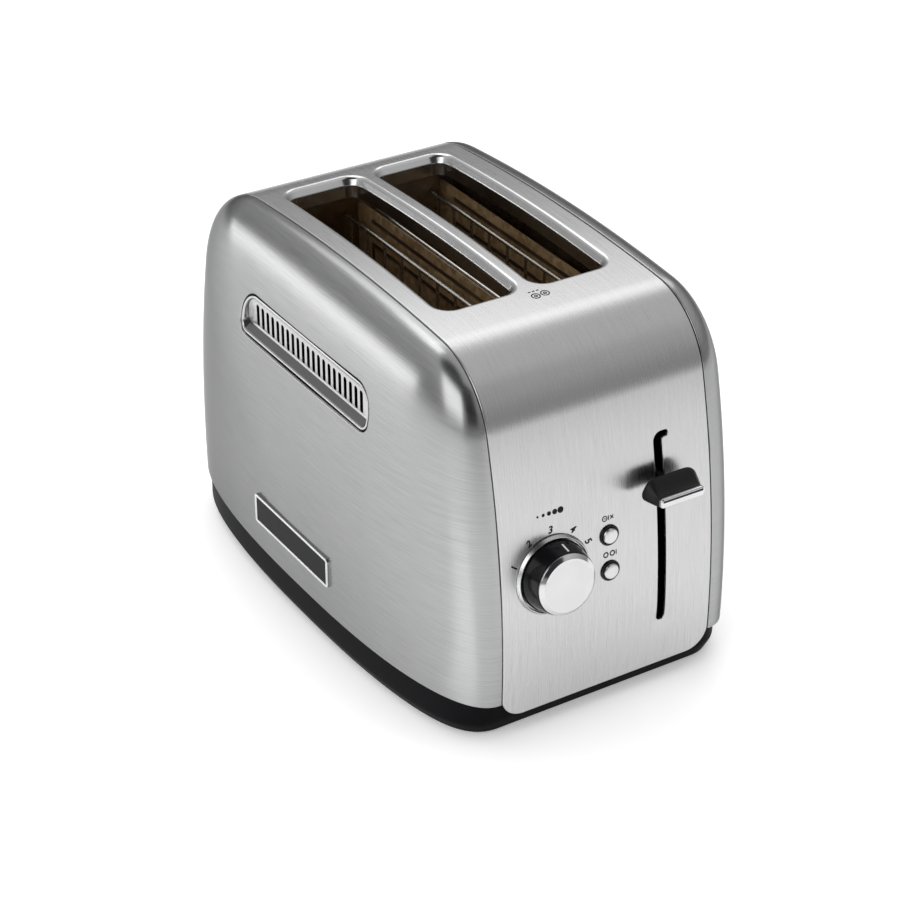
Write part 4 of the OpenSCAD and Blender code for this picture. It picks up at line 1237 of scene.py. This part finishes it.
def build_buttons():
    ring = [(4.2, -2.8), (4.55, -2.8), (4.55, 0.12), (5.2, 0.12), (5.2, 0.5), (4.8, 0.9)]
    ring += [(4.45, 0.9), (4.2, 0.65), (4.2, -2.0)]
    ring = fillet(ring, [0, 0, 0, 0.1, 0.3, 0.3, 0.2, 0.2, 0], steps=4)
    cap = [(0, -2.5), (3.9, -2.5), (3.9, 1.3), (3.45, 1.85), (2.2, 2.1), (0, 2.2)]
    cap = fillet(cap, [0, 0.2, 0.5, 0.5, 2.0, 0], steps=5)
    stem = [(0, -13.2), (1.6, -13.2), (1.6, -2.5), (0, -2.5)]
    for body, ring_node, z in zip(
        ("cancel_button", "bagel_button"), ("button_ring_upper", "button_ring_lower"), BUTTON_Z
    ):
        collar = turned(ring, BUTTON_X, z, 72)
        solid(f"{body}_collar", collar, GLOSS, "casing", "gloss_black", ring_node, crease=TURNED)
        points, faces = turned(cap, BUTTON_X, z, 72)
        stem_points, stem_faces = turned(stem, BUTTON_X, z, 32)
        shape = np.concatenate([points, stem_points]), faces + shifted(stem_faces, len(points))
        solid(f"{body}_cap", shape, CAP_METAL, body, "polished_steel", body, crease=TURNED)


build_buttons()

# ---- Lever -----------------------------------------------------------------------


def trapezoid_ring(low_w, top_w, h, radii, y, z_low):
    corners = [(-low_w / 2, 0), (low_w / 2, 0), (top_w / 2, h), (-top_w / 2, h)]
    loop = fillet(corners, radii, steps=7, closed=True)
    return np.stack([LEVER_X + loop[:, 0], np.full(len(loop), y), z_low + loop[:, 1]], axis=1)


def build_lever():
    low, high = span("lever_handle")
    trim_low, trim_high = span("lever_trim")
    z_low, rear_y, front_y = low[2], high[1], trim_high[1]
    front_w, front_h = trim_high[0] - trim_low[0], trim_high[2] - trim_low[2]
    rear_w, rear_top_w, rear_h = high[0] - low[0] + 8.0, front_w + 1.0, high[2] - low[2] + 2.2
    rings = []
    steps = [(0.0, 1.9), (0.012, 1.2), (0.045, 0.65), (0.1, 0.25), (0.18, 0.0)]
    steps += [(t, 0.0) for t in np.linspace(0.25, 1.0, 14)]
    for t, inset in steps:
        sag = 0.5 + 0.5 * math.cos(math.pi * t**0.85)
        w_low = front_w + (rear_w - front_w) * (1 - t) ** 0.6 - 2 * inset
        w_top = front_w - 1.0 + (rear_top_w - front_w + 1.0) * sag - 2 * inset
        h = front_h + (rear_h - front_h) * sag - 2 * inset
        r_top, r_low = 1.1 + 5.6 * sag, 0.9 + 2.0 * (1 - t)
        y = rear_y + (front_y - rear_y) * t
        rings.append(trapezoid_ring(w_low, w_top, h, [r_low, r_low, r_top, r_top], y, z_low + inset))
    solid("lever_hood", loft(rings), HOOD, "carriage", "black_plastic", "lever_handle", crease=50)
    rings = []
    depth = trim_high[1] - trim_low[1]
    levels = [(0.9, 0.0), (0.25, 0.0), (0.0, 0.15), (0.0, 0.75), (0.18, 0.88), (0.5, 0.97), (1.0, 1.0)]
    for inset, t in levels:
        w, h = front_w + 0.5 - 2 * inset, front_h + 0.3 - 2 * inset
        r = max(1.7 - inset, 0.5)
        rings.append(trapezoid_ring(w, w, h, [r] * 4, front_y - depth * t, z_low - 0.05 + inset))
    solid("lever_bar", loft(rings), CHROME, "carriage", "polished_steel", "lever_trim", crease=50)
    # Painted shade: a black strip across the top of the chrome bar stands in for the shaded groove there
    line_w, line_h, line_z = front_w - 1.6, 1.2, z_low + front_h - 1.75
    rings = [trapezoid_ring(line_w, line_w, line_h, [0.2] * 4, trim_low[1] + d, line_z) for d in (0.4, -0.02)]
    solid("lever_bar_painted_shade_line", loft(rings), GLOSS, "carriage", "gloss_black")
    arm_low, arm_high = span("lever_arm")
    stem = box_points((arm_low[0], rear_y - 1.5, arm_low[2] + 0.4), arm_high)
    solid("lever_stem", stem, BLACK, "carriage", "black_plastic", "lever_arm")


build_lever()


def tube(path, radius, sides):
    """A closed round wire along a path of points."""
    path = np.asarray(path, float)
    tangent = unit(np.gradient(path, axis=0))
    up = np.array([0.0, 0.0, 1.0])
    rings = []
    a = np.linspace(0, 2 * math.pi, sides, endpoint=False)
    for p, t in zip(path, tangent):
        side = unit(np.cross(t, up)) if abs(t[2]) < 0.95 else np.array([1.0, 0, 0])
        other = np.cross(side, t)
        side = np.cross(t, other)
        rings.append(p + radius * (np.cos(a)[:, None] * side + np.sin(a)[:, None] * other))
    return loft(rings)


def build_spring():
    low, high = span("lift_spring")
    cx, cy = (low[0] + high[0]) / 2, (low[1] + high[1]) / 2
    wire = 0.6
    r = (high[0] - low[0]) / 2 - wire
    turns = 19
    steps = turns * 20
    hook = 4.0
    path = [(cx, cy, low[2] + wire), (cx, cy, low[2] + hook * 0.6)]
    for k in range(steps + 1):
        t = k / steps
        a = 2 * math.pi * turns * t
        reach = r * min(1.0, turns * t + 0.05, turns * (1 - t) + 0.05)
        z = low[2] + hook + (high[2] - low[2] - 2 * hook) * t
        path.append((cx + reach * math.cos(a), cy + reach * math.sin(a), z))
    path += [(cx, cy, high[2] - hook * 0.6), (cx, cy, high[2] - wire)]
    obj = solid("spring_coil", tube(path, wire, 8), CHROME, None, "polished_steel", "lift_spring", crease=60)
    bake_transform(obj)


build_spring()

# ---- Marks printed on the wrap ---------------------------------------------------

PRINT_T = 0.05
DIGIT_RING_R = 22.6


def print_on_wrap(name, flat_parts, x, s, turn=0.0):
    """Prints flat shapes, each (points, triangles) with y up the sheet, about (x, s) on the wrap."""
    surface = Surface()
    c, d = math.cos(turn), math.sin(turn)
    for flat, tris in flat_parts:
        flat = np.asarray(flat, float)
        u = flat[:, 0] * c - flat[:, 1] * d
        v = flat[:, 0] * d + flat[:, 1] * c
        points, normals = on_wrap(x + u, s - v, -PRINT_T)
        surface.add(points, normals, tris, np.stack([x + u, s - v], axis=1))
    piece(name, surface.build(name, 2 * PRINT_T), (INK, INK), "casing", "gloss_black")


def disc(x, y, r, hole=0.0):
    outline = circle_loop(x, y, r, 36)
    holes = [circle_loop(x, y, hole, 28)] if hole else []
    return fill(outline, holes, np.array([x, x + r]), np.array([y, y + r]))


def bar(x, y, w, h, angle=0.0):
    corner = np.array([(-w / 2, -h / 2), (w / 2, -h / 2), (w / 2, h / 2), (-w / 2, h / 2)])
    c, d = math.cos(angle), math.sin(angle)
    corner = corner @ np.array([[c, d], [-d, c]]) + np.array([x, y])
    return corner, [(0, 1, 2), (0, 2, 3)]


def digit(text, height):
    """Flat triangles of a digit of the built-in font, centred on the origin."""
    curve = bpy.data.curves.new(f"digit_{text}", "FONT")
    curve.body = text
    curve.size = height / 0.7
    curve.shear = 0.2
    curve.offset = 0.05 * height
    curve.resolution_u = 6
    curve.align_x = "CENTER"
    obj = bpy.data.objects.new(curve.name, curve)
    bpy.context.scene.collection.objects.link(obj)
    bpy.context.view_layer.update()
    mesh = bpy.data.meshes.new_from_object(obj.evaluated_get(bpy.context.evaluated_depsgraph_get()))
    bpy.data.objects.remove(obj)
    mesh.calc_loop_triangles()
    flat = np.array([v.co[:2] for v in mesh.vertices])
    tris = [tuple(t.vertices) for t in mesh.loop_triangles]
    bpy.data.meshes.remove(mesh)
    return flat - (flat.min(0) + flat.max(0)) / 2, tris


def build_marks():
    dial_s = front_s(DIAL_Z)
    for i, degrees in enumerate((-64, -32, 0, 32, 62)):
        a = math.radians(degrees)
        x, s = DIAL_X + DIGIT_RING_R * math.sin(a), dial_s - DIGIT_RING_R * math.cos(a)
        print_on_wrap(f"dial_mark_{i + 1}", [digit(str(i + 1), 3.4)], x, s, -a)
    dots = [disc(-6.4 + 3.1 * i, 0.0, 0.55 + 0.26 * i) for i in range(5)]
    print_on_wrap("shade_scale_mark", dots, DIAL_X, dial_s - 30.8)
    cross = [bar(1.9, 0, 2.4, 0.55, math.pi / 4), bar(1.9, 0, 2.4, 0.55, -math.pi / 4)]
    cross += [disc(-2.0, 0, 1.5, 1.0), bar(-2.0, 0, 1.2, 0.45), bar(0.05, 0, 0.5, 2.4)]
    print_on_wrap("stop_mark", cross, BUTTON_X, front_s(BUTTON_Z[0] + 8.8))
    rings = [disc(-2.1, 0, 1.5, 0.85), disc(1.5, 0, 1.5, 0.85), bar(3.6, 0, 0.5, 2.4)]
    print_on_wrap("ring_mark", rings, BUTTON_X, front_s(BUTTON_Z[1] + 8.6))
    icon = [disc(x, y, *radii) for radii in ((2.3, 1.7), (0.95, 0.4)) for x, y in ((-2.6, 0), (2.6, 0.4))]
    print_on_wrap("top_ring_mark", icon, 1.4, 75.0)
    dashes = [bar(x, 0, 1.4, 0.7) for x in (-2.2, 0, 2.2)]
    print_on_wrap("top_dash_mark", dashes, 0.0, 70.9)


build_marks()


def build_pointer():
    """White line on the sloping side of the knob."""
    angle = math.radians(8.0)
    rings = []
    for r, h in ((15.78, 10.45), (15.84, 10.3), (16.96, 5.2), (16.98, 5.0)):
        ring = []
        for dx, lift in ((-0.45, -0.1), (0.45, -0.1), (0.45, 0.05), (-0.45, 0.05)):
            a = angle + dx / r
            ring.append(((r + lift) * math.sin(a), (r + lift) * math.cos(a), h))
        rings.append(ring)
    points, faces = loft(rings)
    shape = on_face(DIAL_X, DIAL_Z, points), faces
    solid("dial_pointer", shape, WHITE_INK, "shade_knob", "white_plastic", "knob_pointer")


build_pointer()

# ---- Floor, lights and world -----------------------------------------------------


FLOOR_HALF = 4.0
DARK_AZIMUTH = 205
CAP_PLACE = (-118, 70)


def linked(name, data):
    obj = bpy.data.objects.new(name, data)
    bpy.context.scene.collection.objects.link(obj)
    return obj


def add_floor():
    mesh = bpy.data.meshes.new("floor")
    corners = [(x * FLOOR_HALF, y * FLOOR_HALF, 0) for x, y in ((-1, -1), (1, -1), (1, 1), (-1, 1))]
    mesh.from_pydata(corners, [], [(0, 1, 2, 3)])
    m = Material("floor", (0.9, 0.9, 0.9), 0.6, Specular_IOR_Level=0.25)
    cloud = m.noise(m.coords, scale=3.0, detail=3.0)
    m.set("Base Color", m.ramp(cloud, (0.3, (0.88, 0.88, 0.88)), (0.7, (0.91, 0.91, 0.91))))
    m.set("Emission Color", (1.0, 1.0, 1.0, 1.0))
    m.set("Emission Strength", 0.32)
    mesh.materials.append(m.data)
    linked("floor", mesh)


def direction(azimuth, elevation):
    """Unit vector: azimuth in degrees to the right of the rear, elevation above the floor."""
    a, e = math.radians(azimuth), math.radians(elevation)
    return Vector((math.sin(a) * math.cos(e), math.cos(a) * math.cos(e), math.sin(e)))


def softbox(name, azimuth, elevation, distance, size, radiance):
    """A rectangular light that faces the toaster."""
    data = bpy.data.lights.new(name, "AREA")
    data.shape = "RECTANGLE"
    data.size, data.size_y = size
    data.energy = radiance * math.pi * size[0] * size[1]
    light = linked(name, data)
    aim = Vector((0, 0, 0.1))
    place = aim + direction(azimuth, elevation) * distance
    light.location = place
    light.rotation_euler = (aim - place).to_track_quat("-Z", "Y").to_euler()
    return light


def floor_pools():
    """Pools of light on the floor, which the front left corner shows as an upright band."""
    pools = ((-0.128, -0.131, 0.035), (-0.195, -0.142, 0.055), (-0.29, -0.156, 0.075))
    for i, (x, y, radius) in enumerate(pools):
        data = bpy.data.lights.new(f"floor_pool_{i}", "SPOT")
        data.energy = 17.0
        data.spot_size = 2 * math.atan(radius)
        data.spot_blend = 0.6
        data.shadow_soft_size = 0.01
        linked(data.name, data).location = (x, y, 1.0)


def add_world():
    """A grey studio, with a dark band behind the camera and a dark cap high on the left."""
    world = bpy.data.worlds.new("studio")
    bpy.context.scene.world = world
    world.use_nodes = True
    tree = world.node_tree
    tree.nodes.clear()
    out = tree.nodes.new("ShaderNodeOutputWorld")
    back = tree.nodes.new("ShaderNodeBackground")
    coords = tree.nodes.new("ShaderNodeTexCoord")

    def dot(vector):
        n = tree.nodes.new("ShaderNodeVectorMath")
        n.operation = "DOT_PRODUCT"
        n.inputs[1].default_value = vector
        tree.links.new(coords.outputs["Generated"], n.inputs[0])
        return n.outputs["Value"]

    def step(source, *ends):
        """Smooth change of source, over its first two ends, from the third end to the fourth."""
        n = tree.nodes.new("ShaderNodeMapRange")
        n.interpolation_type = "SMOOTHSTEP"
        for key, value in zip(("From Min", "From Max", "To Min", "To Max"), ends):
            n.inputs[key].default_value = value
        tree.links.new(source, n.inputs["Value"])
        return n.outputs["Result"]

    def combined(operation, a, b):
        n = tree.nodes.new("ShaderNodeMath")
        n.operation = operation
        tree.links.new(a, n.inputs[0])
        tree.links.new(b, n.inputs[1])
        return n.outputs[0]

    up, across = (0, 0, 1), direction(DARK_AZIMUTH + 90, 0)
    sky = step(dot(up), 0.0, 0.9, 0.32, 0.74)
    left = step(dot(across), -0.62, -0.5, 0.0, 1.0)
    right = step(dot(across), 0.16, 0.28, 1.0, 0.0)
    front = step(dot(direction(DARK_AZIMUTH, 0)), 0.25, 0.45, 0.0, 1.0)
    low = step(dot(up), 0.12, 0.3, 0.0, 1.0)
    sides, ends = combined("MULTIPLY", left, right), combined("MULTIPLY", front, low)
    cap = step(dot(direction(*CAP_PLACE)), 0.86, 0.95, 0.0, 1.0)
    dark = combined("MAXIMUM", combined("MULTIPLY", sides, ends), cap)
    strength = combined("MULTIPLY", sky, step(dark, 0.0, 1.0, 1.0, 0.06))
    tree.links.new(strength, back.inputs["Strength"])
    back.inputs["Color"].default_value = (1.0, 1.0, 1.0, 1)
    tree.links.new(back.outputs["Background"], out.inputs["Surface"])


add_floor()
add_world()
softbox("back_softbox", 33, 45, 2.4, (2.0, 0.8), 1.3)
softbox("upper_softbox", 2, 60, 2.4, (0.9, 0.9), 2.0)
softbox("strip", -44, 5, 2.3, (1.5, 0.42), 2.7)
softbox("left_softbox", -110, 30, 2.2, (1.5, 1.5), 1.6)
fill_light = softbox("floor_fill", 0, 90, 2.6, (3.0, 3.0), 1.6)
fill_light.visible_glossy = False
floor_pools()
bpy.context.scene.view_settings.view_transform = "Standard"
